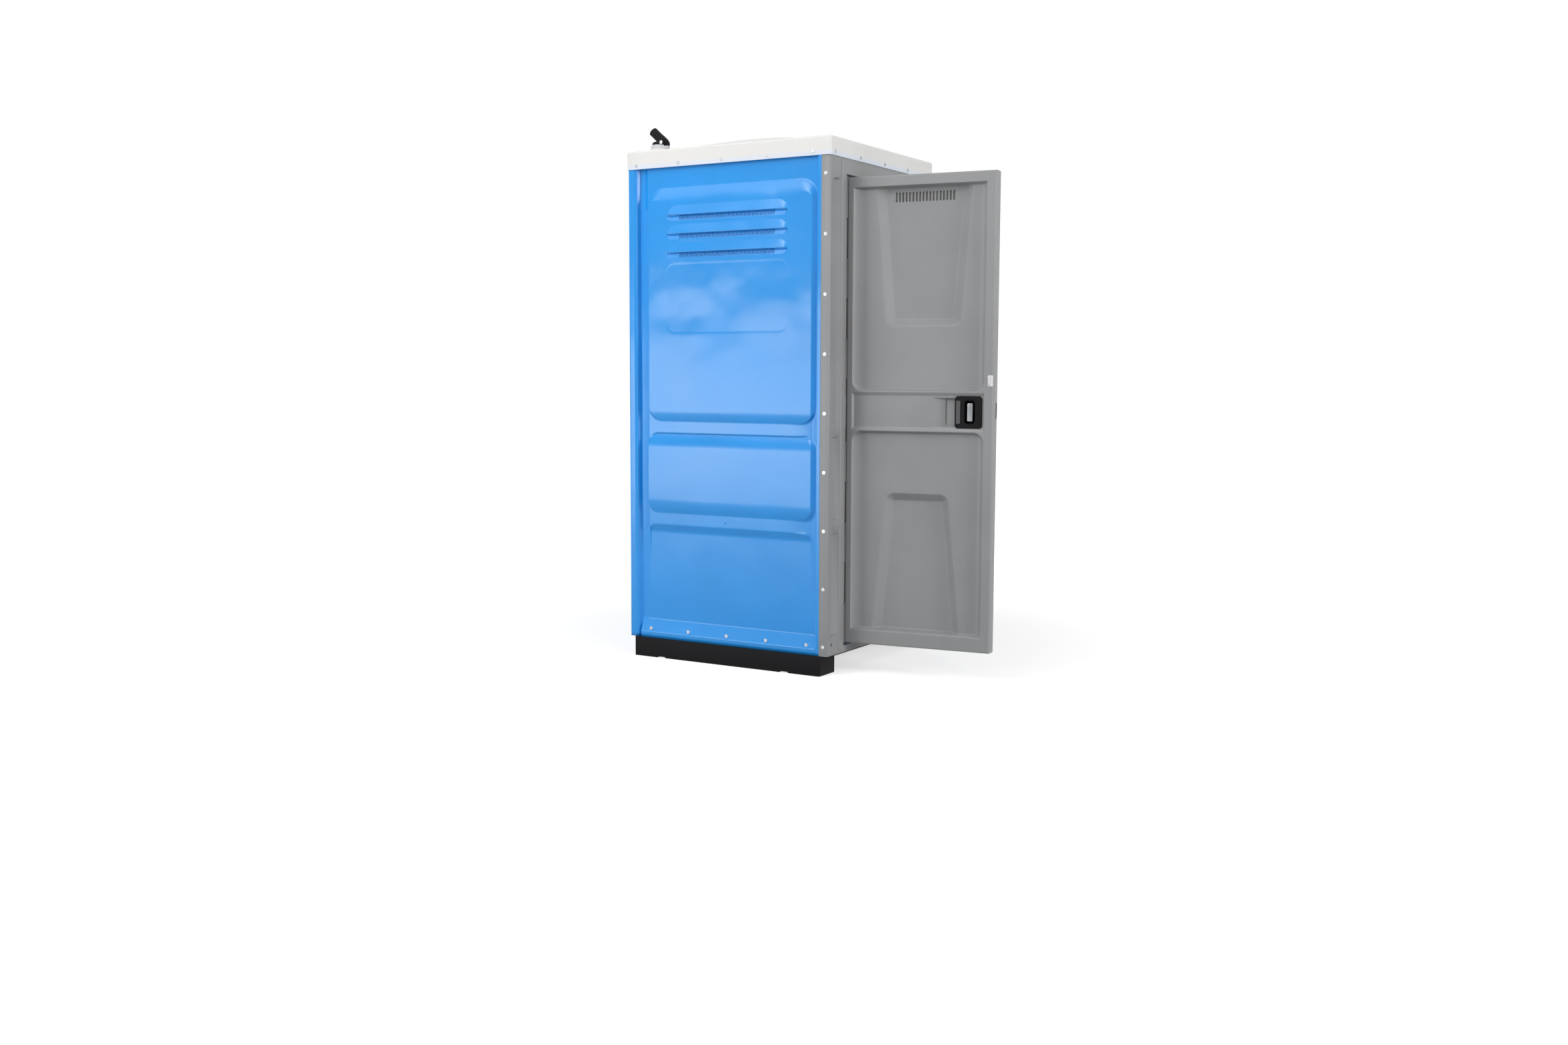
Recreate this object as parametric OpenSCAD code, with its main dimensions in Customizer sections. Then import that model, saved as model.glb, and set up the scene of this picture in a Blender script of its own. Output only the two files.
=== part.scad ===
// Portable shower cabin on two skids, with its door standing open.
// The origin is on the ground under the middle of the cabin, the front is at -Y and up is +Z.

/* [Cabin] */
// Width over the side walls
cabin_w = 940; // [900:5:1080]
// Depth from the front face to the rear face
cabin_d = 1005; // [960:5:1200]
// Height of the top of the walls, under the roof
wall_top_z = 2190; // [2185:1:2240]
// Thickness of a moulded wall from its proud face to its inner face
wall_t = 30; // [28:1:36]
// Radius of the upright outer corners
corner_r = 10; // [4:1:16]
// Play between parts that slip into each other
slip = 0.5; // [0.3:0.1:1]

/* [Base] */
// Height of a skid
skid_h = 84; // [80:1:95]
// Width of a skid
skid_w = 137; // [110:1:160]
// How far a skid's ends stand back from the cabin's front and rear
skid_inset = 29.5; // [10:0.5:50]
// How far a skid stands out past the side wall
skid_out = 10.5; // [2:0.5:20]
// Radius of the upright corners of a skid
skid_corner_r = 12; // [4:1:20]
// Thickness of the deck between the skids
deck_t = 16; // [14:1:20]
// Width of a strap notch under a skid
notch_w = 45; // [30:1:60]
// Height of a strap notch
notch_h = 7; // [4:0.5:10]
// Distance of the ground anchor holes from the cabin's sides
anchor_side = 75; // [70:1:90]
// Distance of the ground anchor holes from the cabin's front and rear
anchor_end = 162.5; // [150:0.5:220]
// Radius of a ground anchor hole
anchor_r = 7; // [5:0.5:8]

/* [Shower tray] */
// Height of the tray's rim above the deck
tray_h = 52; // [48:1:60]
// Thickness of the tray's floor
tray_floor_t = 10; // [8:0.5:14]
// Width of the tray's rim
tray_rim_w = 24; // [18:1:34]
// Radius of the pan's corners
pan_corner_r = 50; // [20:1:80]
// Distance of the drain behind the middle
drain_y = 150; // [60:5:200]
// Radius of the drain grate
grate_r = 45; // [42:0.5:60]
// Thickness of the drain grate
grate_t = 3; // [2:0.5:4]
// Outer radius of the waste spigot
spigot_r = 20; // [16:0.5:22]
// Length of the spigot that takes a hose, up to the thicker pipe behind it
spigot_len = 60; // [50:1:80]
// Wall of the trap and the spigot
spigot_wall = 3; // [2:0.5:4]
// How far the spigot stands out behind the skids
spigot_out = 7; // [2:1:30]
// Outer radius of the trap
trap_r = 30; // [26:0.5:32]

/* [Wall relief] */
// Depth of the flutes beside the panels
flute_depth = 14; // [8:1:18]
// Depth of the flat rails between the panels
rail_depth = 10; // [5:1:13]
// Depth of the lower panel
low_panel_depth = 22; // [16:1:24]
// Depth of the middle panel at its top
mid_panel_depth = 19; // [14:1:23]
// Bottom of the lower panel
low_panel_z = 167; // [160:1:185]
// Top of the lower panel
low_panel_top_z = 588.5; // [560:0.5:600]
// Bottom of the middle panel
mid_panel_z = 642; // [630:1:660]
// Top of the middle panel
mid_panel_top_z = 988; // [960:1:1000]
// Bottom of the upper panel
up_panel_z = 1041; // [1030:1:1060]
// Top of the upper panel
up_panel_top_z = 2038; // [2020:1:2050]
// Corner radius of the upper panel
up_panel_r = 78; // [40:1:100]
// Corner radius of the middle panel
mid_panel_r = 55; // [30:1:80]
// Corner radius of the lower panel
low_panel_r = 34; // [20:1:60]
// Distance from the front end of a side wall to its panels
panel_inset_front = 42.5; // [36:0.5:60]
// Distance from the rear end of a side wall to its panels
panel_inset_rear = 99.5; // [90:0.5:120]
// Distance from each side edge of the rear wall to its panels
panel_inset_back = 50; // [44:1:80]
// Top of the plain strip at the foot of a wall
foot_strip_z = 110; // [104:1:116]
// Depth of the plain strip at the foot of a wall
foot_strip_depth = 2; // [0:0.5:4]

/* [Louvres] */
// Height of the middle of the top louvre's slits
louvre_z = 1908; // [1890:1:1915]
// Distance between louvres
louvre_pitch = 79; // [74:1:90]
// Number of louvres
louvre_count = 3; // [1:1:4]
// Length of a louvre
louvre_len = 600; // [520:5:640]
// Height of the slit band
slit_band_h = 24; // [18:1:28]
// Height of the sloped hood over the slit band
hood_h = 42; // [30:1:44]
// Depth of the crease between hood and slit band
louvre_depth = 11; // [7:1:12]
// Distance between slits
slit_pitch = 13.4; // [11:0.1:20]
// Width of a slit
slit_w = 6; // [3:0.5:7]
// Number of slits in each half of a louvre
slit_count = 18; // [6:1:18]
// Height of the middle of the label recess
label_z = 1567; // [1540:1:1580]
// Height of the label recess from its bottom to its top
label_h = 295; // [200:5:300]

/* [Front frame] */
// How far the frame wraps round onto the sides
frame_wrap = 40; // [34:1:50]
// Depth of the frame round the doorway
frame_depth = 72.5; // [70:0.5:90]
// Width of the frame beside the hinge
stile_hinge_w = 140; // [132:1:160]
// Width of the frame beside the latch
stile_latch_w = 146; // [138:1:160]
// Top of the threshold
threshold_z = 112; // [108:1:116]
// Gap between the door and the head of the doorway
head_gap = 12.5; // [8:0.5:20]
// How far the stop lip covers the inner face of the door
lip_lap = 10; // [6:1:16]
// Depth of the channels in the stiles
channel_depth = 14; // [8:1:18]
// Distance of a channel from the outer corner
channel_lip = 12; // [8:0.5:16]
// Distance of a channel from the doorway on the hinge side
channel_edge = 50; // [40:1:60]

/* [Roof] */
// Bottom of the roof's skirt
skirt_z = 2123; // [2110:1:2135]
// Height of the flat rim of the roof
rim_z = 2200; // [2198:1:2250]
// Thickness of the roof
roof_t = 4; // [3:0.5:6]
// Rise of the crown over the rim
crown_rise = 70; // [30:1:90]
// Width of the flat rim round the crown
rim_flat = 30; // [20:1:40]

/* [Door] */
// Bottom of the door
door_bottom_z = 125; // [118:1:140]
// Top of the door
door_top_z = 2047.5; // [2030:0.5:2055]
// Height of the middle of the small plate at the door's free edge
edge_plate_z = 1223; // [1205:1:1235]
// Thickness of the door
door_t = 57; // [54:1:62]
// Thickness of the inner skin
skin_t = 5; // [3:0.5:6]
// Wall of the door's outer shell
shell_t = 6; // [4:0.5:8]
// Gap between the door's free edge and the frame
free_gap = 3.5; // [3:0.1:6]
// Angle at which the door stands open
door_open = 83.4; // [0:0.1:90]
// Width of the bar along the hinge side
hinge_bar_w = 25.5; // [22:0.5:40]
// Width of the bar along the free side
free_bar_w = 37.5; // [30:0.5:44]
// Height of the bar along the bottom
bottom_bar_h = 60; // [50:1:70]
// Height of the bar along the top
top_bar_h = 41.5; // [34:0.5:50]
// Width of the slopes round the door's panels
door_slope_w = 21; // [12:1:24]
// Depth of the door's panels
door_panel_depth = 20; // [14:1:22]
// Bottom of the middle rail
rail_bottom_z = 1018; // [1010:1:1025]
// Top of the middle rail
rail_top_z = 1179; // [1170:1:1200]
// Depth of the middle rail
door_rail_depth = 8; // [4:1:10]
// Extra depth of the tapered recesses
taper_depth = 20; // [8:1:20]
// Distance of the upper tapered recess from the door's middle, away from the hinge
upper_taper_shift = 9; // [-12:1:12]
// Distance of the lower tapered recess from the door's middle, away from the hinge
lower_taper_shift = -8; // [-12:1:12]
// Corner radius of the door's panels
door_panel_r = 40; // [10:1:50]
// Number of vent slots at the top of the door
vent_count = 18; // [10:1:18]
// Distance between the vent slots
vent_pitch = 14.4; // [13:0.1:15]
// Width of a vent slot
vent_w = 8; // [5:0.5:9]
// Height of a vent slot
vent_h = 38; // [30:1:42]

/* [Hinge] */
// Radius of the hinge rod
rod_r = 4; // [3:0.5:5]
// Radial play of the rod in the knuckles
rod_play = 0.05; // [0.03:0.01:0.1]
// Radius of a knuckle
knuckle_r = 9; // [8:0.5:10]
// Gap between the frame and the knuckles
knuckle_side_gap = 3; // [2:0.5:5]
// Gap between one knuckle and the next
knuckle_gap = 1.5; // [1:0.1:3]
// Gap between a frame knuckle and the door's edge
door_edge_gap = 1.5; // [1:0.1:3]
// Bottom of the free sleeve on the rod
sleeve_z = 1026; // [1020:1:1040]
// Length of the free sleeve on the rod
sleeve_len = 139; // [120:1:150]

/* [Latch] */
// Distance from the door's free edge to the middle of the bezel
bezel_inset = 103; // [98:0.5:110]
// Width of the bezel
bezel_w = 114; // [106:1:120]
// Height of the bezel
bezel_h = 130; // [124:1:150]
// Height of the middle of the latch
latch_z = 1097; // [1094:1:1102]
// How far the bezel stands proud of the rail
bezel_proud = 4; // [2:0.5:7]
// Width of the slot in the bezel
latch_slot_w = 45; // [43:1:50]
// Height of the slot in the bezel
latch_slot_h = 94; // [84:1:100]
// Width of the grip bar
grip_w = 22; // [16:1:22]
// Height of the grip bar
grip_h = 72; // [50:1:78]
// Travel of the latch towards the frame
throw_lock = 9.5; // [6:0.5:9.5]
// Travel of the latch away from the frame
throw_open = 12; // [8:0.5:12]
// Height of the bolt
bolt_h = 63; // [40:1:66]
// Thickness of the bolt
bolt_t = 10; // [6:0.5:10]
// How far the bolt's tip stands out of the door when at rest
bolt_proud = 1; // [0.5:0.1:1.5]

/* [Water inlet] */
// Distance of the inlet from the left side of the cabin
inlet_inset = 56; // [54:1:70]
// Distance of the inlet from the rear of the cabin
inlet_from_rear = 133.5; // [110:0.5:160]
// Radius of the inlet's base
inlet_base_r = 40.5; // [38:0.5:44]
// Height of the roof's pad under the inlet, over the rim
inlet_pad_h = 7; // [5:0.5:10]
// Height of the inlet's base
inlet_base_h = 19; // [17:0.5:24]
// Radius of the inlet tube
inlet_r = 20.5; // [18:0.5:22]
// Length of the inlet tube from its pivot
inlet_len = 78; // [60:1:110]
// Length of the tube's end that takes a hose, 1 mm thinner than the rest
inlet_end_len = 50; // [40:1:54]
// Upward tilt of the inlet tube at rest
inlet_tilt = 41; // [35:1:60]
// How far the inlet tube swings down from there
inlet_swing_down = 15; // [0:1:16]

/* [Plumbing] */
// Outer radius of the water pipes
pipe_r = 11; // [8:0.5:12]
// Wall of the water pipes
pipe_wall = 2; // [1:0.5:3]
// Height of the mixer
mixer_z = 1100; // [1000:5:1250]
// Radius of the mixer body
mixer_r = 20; // [16:0.5:22]
// Length of the mixer body
mixer_len = 200; // [180:1:230]
// Height of the shower arm
arm_z = 1960; // [1900:5:2000]
// Reach of the shower arm from the riser
arm_reach = 190; // [140:5:240]
// Radius of the shower head
head_r = 60; // [45:1:75]
// Radius of a tap knob
knob_r = 21; // [18:0.5:24]
// Height of the lowest pipe clips over the mixer
clip_rise = 150; // [100:5:200]
// Distance between the pipe clips
clip_pitch = 380; // [300:5:390]
// Height of a pipe clip
clip_h = 14; // [10:1:18]
// Width of a pipe clip's arm
clip_w = 12; // [8:1:16]

/* [Fittings] */
// Length of the soap shelf
shelf_len = 240; // [180:5:260]
// Depth of the soap shelf
shelf_d = 95; // [80:1:120]
// Height of the soap shelf
shelf_z = 1180; // [1100:5:1250]
// Height of the shelf's back plate
shelf_back_h = 70; // [50:1:90]
// Width of the shelf's rim of floor round its slots
shelf_edge = 20; // [14:1:26]
// Height of the coat hooks
hook_z = 1690; // [1500:5:1750]
// Distance between the coat hooks
hook_pitch = 110; // [80:5:130]
// Width of a coat hook's plate
hook_plate_w = 30; // [24:1:36]
// Height of a coat hook's plate
hook_plate_h = 64; // [54:1:74]
// How far a coat hook stands out from the wall
hook_reach = 33; // [26:1:40]
// How far the shelf and the hooks stand to the right of the middle
fitting_x = 40; // [0:5:60]
// Width of the rear corner angles
angle_w = 30; // [24:1:36]
// Thickness of the rear corner angles
angle_t = 3; // [2:0.5:4]

/* [Screws] */
// Radius of a screw head with its washer
head_disc_r = 7.5; // [6:0.5:9]
// Thickness of a screw head with its washer
head_disc_h = 3.2; // [2.6:0.2:4]
// Radius of a screw's shank
shank_r = 2.4; // [2:0.1:3]
// Length of a screw's shank
shank_len = 14; // [10:1:20]
// Height of a front corner's lowest screw over the skids
corner_screw_lift = 39.4; // [30:0.1:60]
// Distance of a front corner's highest screw below the top of the walls
corner_screw_drop = 139.4; // [110:0.1:160]
// Height of the lowest screw of a rear corner
rear_screw_z = 260; // [220:5:300]
// Distance of the roof's outer screws from the cabin's sides
roof_screw_side = 34; // [30:1:60]
// Distance of the roof's outer screws from the cabin's front and rear
roof_screw_end = 62.5; // [50:0.5:90]
// Distance between the screws of a rear corner
rear_screw_pitch = 290; // [250:1:300]
// Distance of the outer screws of a side wall's foot from the wall's ends
sill_screw_end = 86.5; // [80:0.5:110]
// Distance of the outer screws of the rear wall's foot from the wall's ends
sill_screw_side = 44; // [40:1:80]

/* [Hidden] */
$fn = 48;

blue = [0.23, 0.58, 0.92];
grey = [0.54, 0.55, 0.55];
black = [0.1, 0.1, 0.1];
white = [0.88, 0.88, 0.86];
zinc = [0.8, 0.8, 0.8];
chrome = [0.75, 0.76, 0.78];

half_w = cabin_w / 2;
half_d = cabin_d / 2;
front_y = -half_d;
wall_front_y = front_y + frame_wrap;
inner_x = half_w - wall_t;
inner_rear_y = half_d - wall_t;
frame_inner_y = front_y + frame_depth;
cut = 1;

jamb_hinge_x = -half_w + stile_hinge_w;
jamb_latch_x = half_w - stile_latch_w;
axis_x = jamb_hinge_x + knuckle_r + knuckle_side_gap;
axis_y = front_y + knuckle_r;
door_x0 = axis_x + knuckle_r + door_edge_gap;
door_x1 = jamb_latch_x - free_gap;
door_mid_x = (door_x0 + door_x1) / 2;
head_z = door_top_z + head_gap;
shell_depth = door_t - skin_t;

anchor_hole_r = anchor_r + 2;
drain_neck_r = grate_r - 7;
spigot_z = skid_h - deck_t - spigot_r - 4;
waste_pipe_r = spigot_r + 1;
skid_len = cabin_d - 2 * skid_inset;
anchor_x = half_w - anchor_side;
anchor_y = half_d - anchor_end;

wall_u0 = wall_front_y;
wall_u1 = half_d;
louvre_u = (wall_u0 + panel_inset_front + wall_u1 - panel_inset_rear) / 2 + 5;
sill_screw_z = 124.5;
sill_dish_r = head_disc_r + 2.5;
sill_dish_depth = foot_strip_depth + 6.5;

inlet_x = -half_w + inlet_inset;
inlet_y = half_d - inlet_from_rear;
inlet_pivot_y = inlet_y - 22;
inlet_base_z = rim_z + inlet_pad_h;
inlet_foot_z = inlet_base_z + inlet_base_h;
cheek_r = 10;
inlet_pivot_z = inlet_foot_z + cheek_r;
inlet_foot_r = 34.5;
cheek_t = 5;
cheek_gap = 0.4;
inlet_end_r = inlet_r - 1;

corner_screw_z0 = skid_h + corner_screw_lift;
corner_screw_pitch = (wall_top_z - corner_screw_drop - corner_screw_z0) / 8;

latch_x = door_x1 - bezel_inset;
slot_x = latch_x + 4.5;
grip_x = slot_x + 1.25;
cup_floor_depth = 34;
cup_floor_t = 6;
latch_play = 0.3;
bolt_depth = cup_floor_depth + cup_floor_t + latch_play;
shank_w = 10;
shank_h = 32;
cover_t = 3;

riser_y = inlet_y - 100;
mixer_y0 = inlet_y + 30;
knob_x = inlet_x + mixer_r;
socket_h = mixer_r + 8;
arm_end_x = inlet_x + arm_reach;
arm_bend_r = 30;
head_pivot_z = arm_z - 26;

// A rectangle with round corners, standing on the middle of its area
module round_rect(w, h, r) {
    square([w - 2 * r, h], center = true);
    square([w, h - 2 * r], center = true);
    for (x = [-1, 1], y = [-1, 1]) {
        translate([x * (w / 2 - r), y * (h / 2 - r)]) circle(r = r);
    }
}

// An upright slot with round ends
module obround(w, h) {
    square([w, h - w], center = true);
    for (y = [-1, 1]) {
        translate([0, y * (h - w) / 2]) circle(d = w);
    }
}

// A prism along +Y from depth y0 to y1, drawn as an outline in X and Z
module facing_prism(y0, y1) {
    translate([0, y1, 0]) rotate([90, 0, 0]) linear_extrude(height = y1 - y0) children();
}

// A prism along X from x0 to x1, drawn as an outline in Y and Z
module side_prism(x0, x1) {
    translate([x0, 0, 0]) rotate([90, 0, 90]) linear_extrude(height = x1 - x0) children();
}

// Turns what is drawn with the door shut to where the door stands open
module at_door() {
    translate([axis_x, axis_y, 0]) rotate([0, 0, -door_open]) translate([-axis_x, -axis_y, 0]) children();
}

// A washer-head screw at the origin that points along +Z, with its head at the end
module screw(length = shank_len) {
    translate([0, 0, -length]) cylinder(r = shank_r, h = length + 0.1);
    cylinder(r = head_disc_r, h = head_disc_h * 0.35);
    cylinder(r1 = head_disc_r * 0.75, r2 = head_disc_r * 0.5, h = head_disc_h);
}

module left_and_right() {
    children();
    mirror([1, 0, 0]) children();
}

module skid() {
    outer_x = half_w + skid_out;
    color(black) difference() {
        translate([-outer_x + skid_w / 2, 0, 0]) {
            linear_extrude(height = skid_h) round_rect(skid_w, skid_len, skid_corner_r);
        }
        for (y = [172 - skid_len / 2, skid_len / 2 - 146]) {
            side_prism(-outer_x - cut, -outer_x + 22) translate([y, 0]) {
                polygon([[-notch_w / 2, -cut], [-notch_w / 2, 0], [-notch_w / 2 + notch_h, notch_h],
                    [notch_w / 2 - notch_h, notch_h], [notch_w / 2, 0], [notch_w / 2, -cut]]);
            }
        }
        for (y = [-anchor_y, anchor_y]) {
            translate([-anchor_x, y, -cut]) cylinder(r = anchor_r, h = skid_h + 2 * cut);
        }
    }
}

module left_skid() {
    skid();
}

module right_skid() {
    mirror([1, 0, 0]) skid();
}

module base_deck() {
    deck_w = 2 * (half_w + skid_out - skid_w);
    color(black) difference() {
        translate([-deck_w / 2, -skid_len / 2, skid_h - deck_t]) cube([deck_w, skid_len, deck_t]);
        translate([0, drain_y, skid_h - deck_t - cut]) cylinder(r = trap_r + 2, h = deck_t + 2 * cut);
    }
}

module shower_tray() {
    tray_w = 2 * (inner_x - slip);
    y0 = frame_inner_y + slip;
    y1 = inner_rear_y - slip;
    color([0.8, 0.8, 0.78]) difference() {
        translate([-tray_w / 2, y0, skid_h]) cube([tray_w, y1 - y0, tray_h]);
        translate([0, (y0 + y1) / 2, skid_h + tray_floor_t]) linear_extrude(height = tray_h) {
            round_rect(tray_w - 2 * tray_rim_w, y1 - y0 - 2 * tray_rim_w, pan_corner_r);
        }
        translate([0, drain_y, skid_h - cut]) cylinder(r = drain_neck_r, h = tray_h);
        translate([0, drain_y, skid_h + tray_floor_t - grate_t]) cylinder(r = grate_r + slip, h = tray_h);
        translate([-tray_w / 2 + tray_rim_w, y0 - cut, threshold_z]) {
            cube([tray_w - 2 * tray_rim_w, 2 * tray_rim_w, tray_h]);
        }
        for (x = [-1, 1], y = [-1, 1]) {
            translate([x * anchor_x, y * anchor_y, skid_h - cut]) cylinder(r = anchor_hole_r, h = tray_h);
        }
    }
}

module drain_grate() {
    slot_pitch = 12;
    color(chrome) translate([0, drain_y, skid_h + tray_floor_t - grate_t]) difference() {
        cylinder(r = grate_r, h = grate_t);
        for (i = [-2:2]) {
            half = sqrt(pow(grate_r - 12, 2) - pow(i * slot_pitch, 2));
            translate([i * slot_pitch - 2.5, -half, -cut]) cube([5, 2 * half, grate_t + 2 * cut]);
        }
    }
}

module drain_trap() {
    end_y = skid_len / 2 + spigot_out;
    trap_bottom = spigot_z - spigot_r - 4;
    flange_t = 4;
    color([0.35, 0.35, 0.36]) difference() {
        union() {
            translate([0, drain_y, skid_h]) cylinder(r = drain_neck_r - slip, h = flange_t);
            translate([0, drain_y, trap_bottom]) cylinder(r = trap_r, h = skid_h - trap_bottom);
            translate([0, drain_y, spigot_z]) rotate([-90, 0, 0]) {
                cylinder(r = waste_pipe_r, h = end_y - spigot_len - drain_y);
                cylinder(r = spigot_r, h = end_y - drain_y);
            }
        }
        translate([0, drain_y, trap_bottom + spigot_wall]) cylinder(r = trap_r - spigot_wall, h = skid_h);
        translate([0, drain_y, spigot_z]) rotate([-90, 0, 0]) {
            cylinder(r = spigot_r - spigot_wall, h = end_y - drain_y + cut);
        }
    }
}

module anchor_plugs() {
    color([0.3, 0.3, 0.3]) for (x = [-1, 1], y = [-1, 1]) {
        translate([x * anchor_x, y * anchor_y, skid_h + tray_floor_t]) {
            translate([0, 0, -4]) cylinder(r = anchor_hole_r - slip, h = 4.1);
            cylinder(r = anchor_hole_r + 5, h = 3);
        }
    }
}

// The depth of the relief up a wall, from foot to top, for a section through its panels.
// Each point is a depth and a height.
panel_section = [
    [foot_strip_depth, skid_h], [foot_strip_depth, foot_strip_z], [low_panel_depth, low_panel_z],
    [low_panel_depth, low_panel_top_z - 28], [rail_depth, low_panel_top_z],
    [rail_depth, mid_panel_z], [0, mid_panel_z + 41], [mid_panel_depth, mid_panel_top_z - 43],
    [rail_depth, mid_panel_top_z], [rail_depth, up_panel_z], [0, up_panel_z + 32],
    [0, up_panel_top_z - 40], [rail_depth, up_panel_top_z], [rail_depth, wall_top_z],
    [wall_t, wall_top_z], [wall_t, skid_h]
];

// A panel's outline between two heights and two places along the wall
module panel_outline(u0, u1, z0, z1, r) {
    translate([(u0 + u1) / 2, (z0 + z1) / 2]) round_rect(u1 - u0, z1 - z0, r);
}

module panel_outlines(f0, f1) {
    panel_outline(f0, f1, up_panel_z, up_panel_top_z, up_panel_r);
    panel_outline(f0, f1, mid_panel_z, mid_panel_top_z, mid_panel_r);
    panel_outline(f0 + 12, f1 - 5, low_panel_z, low_panel_top_z, low_panel_r);
}

// One louvre, cut into the upper panel: a sloped hood, a crease and a slit band
module louvre_cut(u, z) {
    intersection() {
        translate([u - louvre_len / 2, 0, 0]) rotate([90, 0, 90]) linear_extrude(height = louvre_len) {
            polygon([[-cut, z - slit_band_h / 2 - cut], [0, z - slit_band_h / 2],
                [louvre_depth, z + slit_band_h / 2], [0, z + slit_band_h / 2 + hood_h],
                [-cut, z + slit_band_h / 2 + hood_h + cut]]);
        }
        facing_prism(-cut, wall_t) translate([u, z + hood_h / 2]) {
            round_rect(louvre_len, slit_band_h + hood_h, 30);
        }
    }
    facing_prism(-cut, wall_t + cut) for (half = [-1, 1], i = [0:slit_count - 1]) {
        translate([u + half * (i + 0.6) * slit_pitch, z]) square([slit_w, slit_band_h - 4], center = true);
    }
}

// A moulded wall whose outer face is at y = 0 and whose inner face is at y = wall_t.
// It runs along X from u0 to u1, and its panels from f0 to f1.
module moulded_wall(u0, u1, f0, f1, corner_strip) {
    lip_w = 2.5;
    flute_slope = 13;
    difference() {
        union() {
            translate([0, 0, skid_h]) linear_extrude(height = wall_top_z - skid_h) {
                polygon(concat(
                    [[u0, wall_t], [u0, 0], [u0 + lip_w, 0], [u0 + lip_w + flute_slope, flute_depth],
                        [f0 - 1, flute_depth], [f0 - 1, rail_depth], [f1, rail_depth]],
                    corner_strip ? [[f1 + 9, flute_depth], [u1 - 47.5, flute_depth], [u1 - 42, 5],
                        [u1 - 20, 5], [u1 - 17, 0], [u1, 0]]
                        : [[f1 + 1, rail_depth], [f1 + 1, flute_depth],
                            [u1 - lip_w - flute_slope, flute_depth], [u1 - lip_w, 0], [u1, 0]],
                    [[u1, wall_t]]
                ));
            }
            translate([u0 + lip_w + flute_slope, 0, 0]) rotate([90, 0, 90]) {
                linear_extrude(height = u1 - u0 - 2 * (lip_w + flute_slope)) {
                    polygon([[foot_strip_depth, skid_h], [foot_strip_depth, foot_strip_z],
                        [low_panel_depth, low_panel_z], [wall_t, low_panel_z], [wall_t, skid_h]]);
                }
            }
        }
        facing_prism(-cut, wall_t + cut) panel_outlines(f0, f1);
    }
    intersection() {
        facing_prism(-cut, wall_t + cut) panel_outlines(f0, f1);
        translate([f0, 0, 0]) rotate([90, 0, 90]) linear_extrude(height = f1 - f0) polygon(panel_section);
    }
}

// The screw places along the foot of a wall, with the outer ones at a distance from its ends
function sill_places(u0, u1, end, shift) =
    [for (i = [0:4]) (u0 + u1) / 2 + (i - 2) * (u1 - u0 - 2 * end) / 4 - shift];

side_sills = sill_places(wall_u0, wall_u1, sill_screw_end, 22);
rear_sills = sill_places(-inner_x, inner_x, sill_screw_side, 0);

module side_wall() {
    f0 = wall_u0 + panel_inset_front;
    f1 = wall_u1 - panel_inset_rear;
    color(blue) intersection() {
        translate([-half_w, 0, 0]) mirror([1, -1, 0]) difference() {
            moulded_wall(wall_u0, wall_u1, f0, f1, true);
            for (i = [0:louvre_count - 1]) {
                louvre_cut(louvre_u, louvre_z - i * louvre_pitch);
            }
            facing_prism(-cut, 1.5) translate([louvre_u, label_z]) round_rect(louvre_len + 4, label_h, 40);
            for (u = side_sills) {
                facing_prism(-cut, sill_dish_depth) translate([u, sill_screw_z]) circle(r = sill_dish_r);
            }
            facing_prism(-cut, 9 + rail_depth) translate([3, low_panel_top_z + 22.5]) circle(r = 2);
        }
        translate([0, 0, skid_h - cut]) linear_extrude(height = wall_top_z - skid_h + 2 * cut) {
            round_rect(cabin_w, cabin_d, corner_r);
        }
    }
}

module left_wall() {
    side_wall();
}

module right_wall() {
    mirror([1, 0, 0]) side_wall();
}

module rear_wall() {
    color(blue) translate([0, half_d, 0]) mirror([0, 1, 0]) difference() {
        moulded_wall(-inner_x, inner_x, -inner_x + panel_inset_back, inner_x - panel_inset_back, false);
        for (u = rear_sills) {
            facing_prism(-cut, sill_dish_depth) translate([u, sill_screw_z]) circle(r = sill_dish_r);
        }
    }
}

module rear_angles() {
    z0 = skid_h + tray_h;
    color(zinc) left_and_right() translate([-inner_x, inner_rear_y, z0]) {
        translate([0, -angle_w, 0]) cube([angle_t, angle_w, wall_top_z - z0]);
        translate([0, -angle_t, 0]) cube([angle_w, angle_t, wall_top_z - z0]);
    }
}

// One channel of a stile, between two heights, on the hinge side
module channel_cut(z0, z1) {
    inner = stile_hinge_w - channel_edge;
    w = stile_hinge_w - 20;
    intersection() {
        translate([-half_w, front_y, z0]) linear_extrude(height = z1 - z0) {
            polygon([[channel_lip, -cut], [channel_lip + 1, 0], [channel_lip + 8, channel_depth],
                [inner - 28, channel_depth], [inner, 0], [inner + 1, -cut]]);
        }
        facing_prism(front_y - cut, front_y + frame_wrap) {
            translate([-half_w + channel_lip + w / 2, (z0 + z1) / 2]) round_rect(w, z1 - z0, 34);
        }
    }
}

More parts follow.
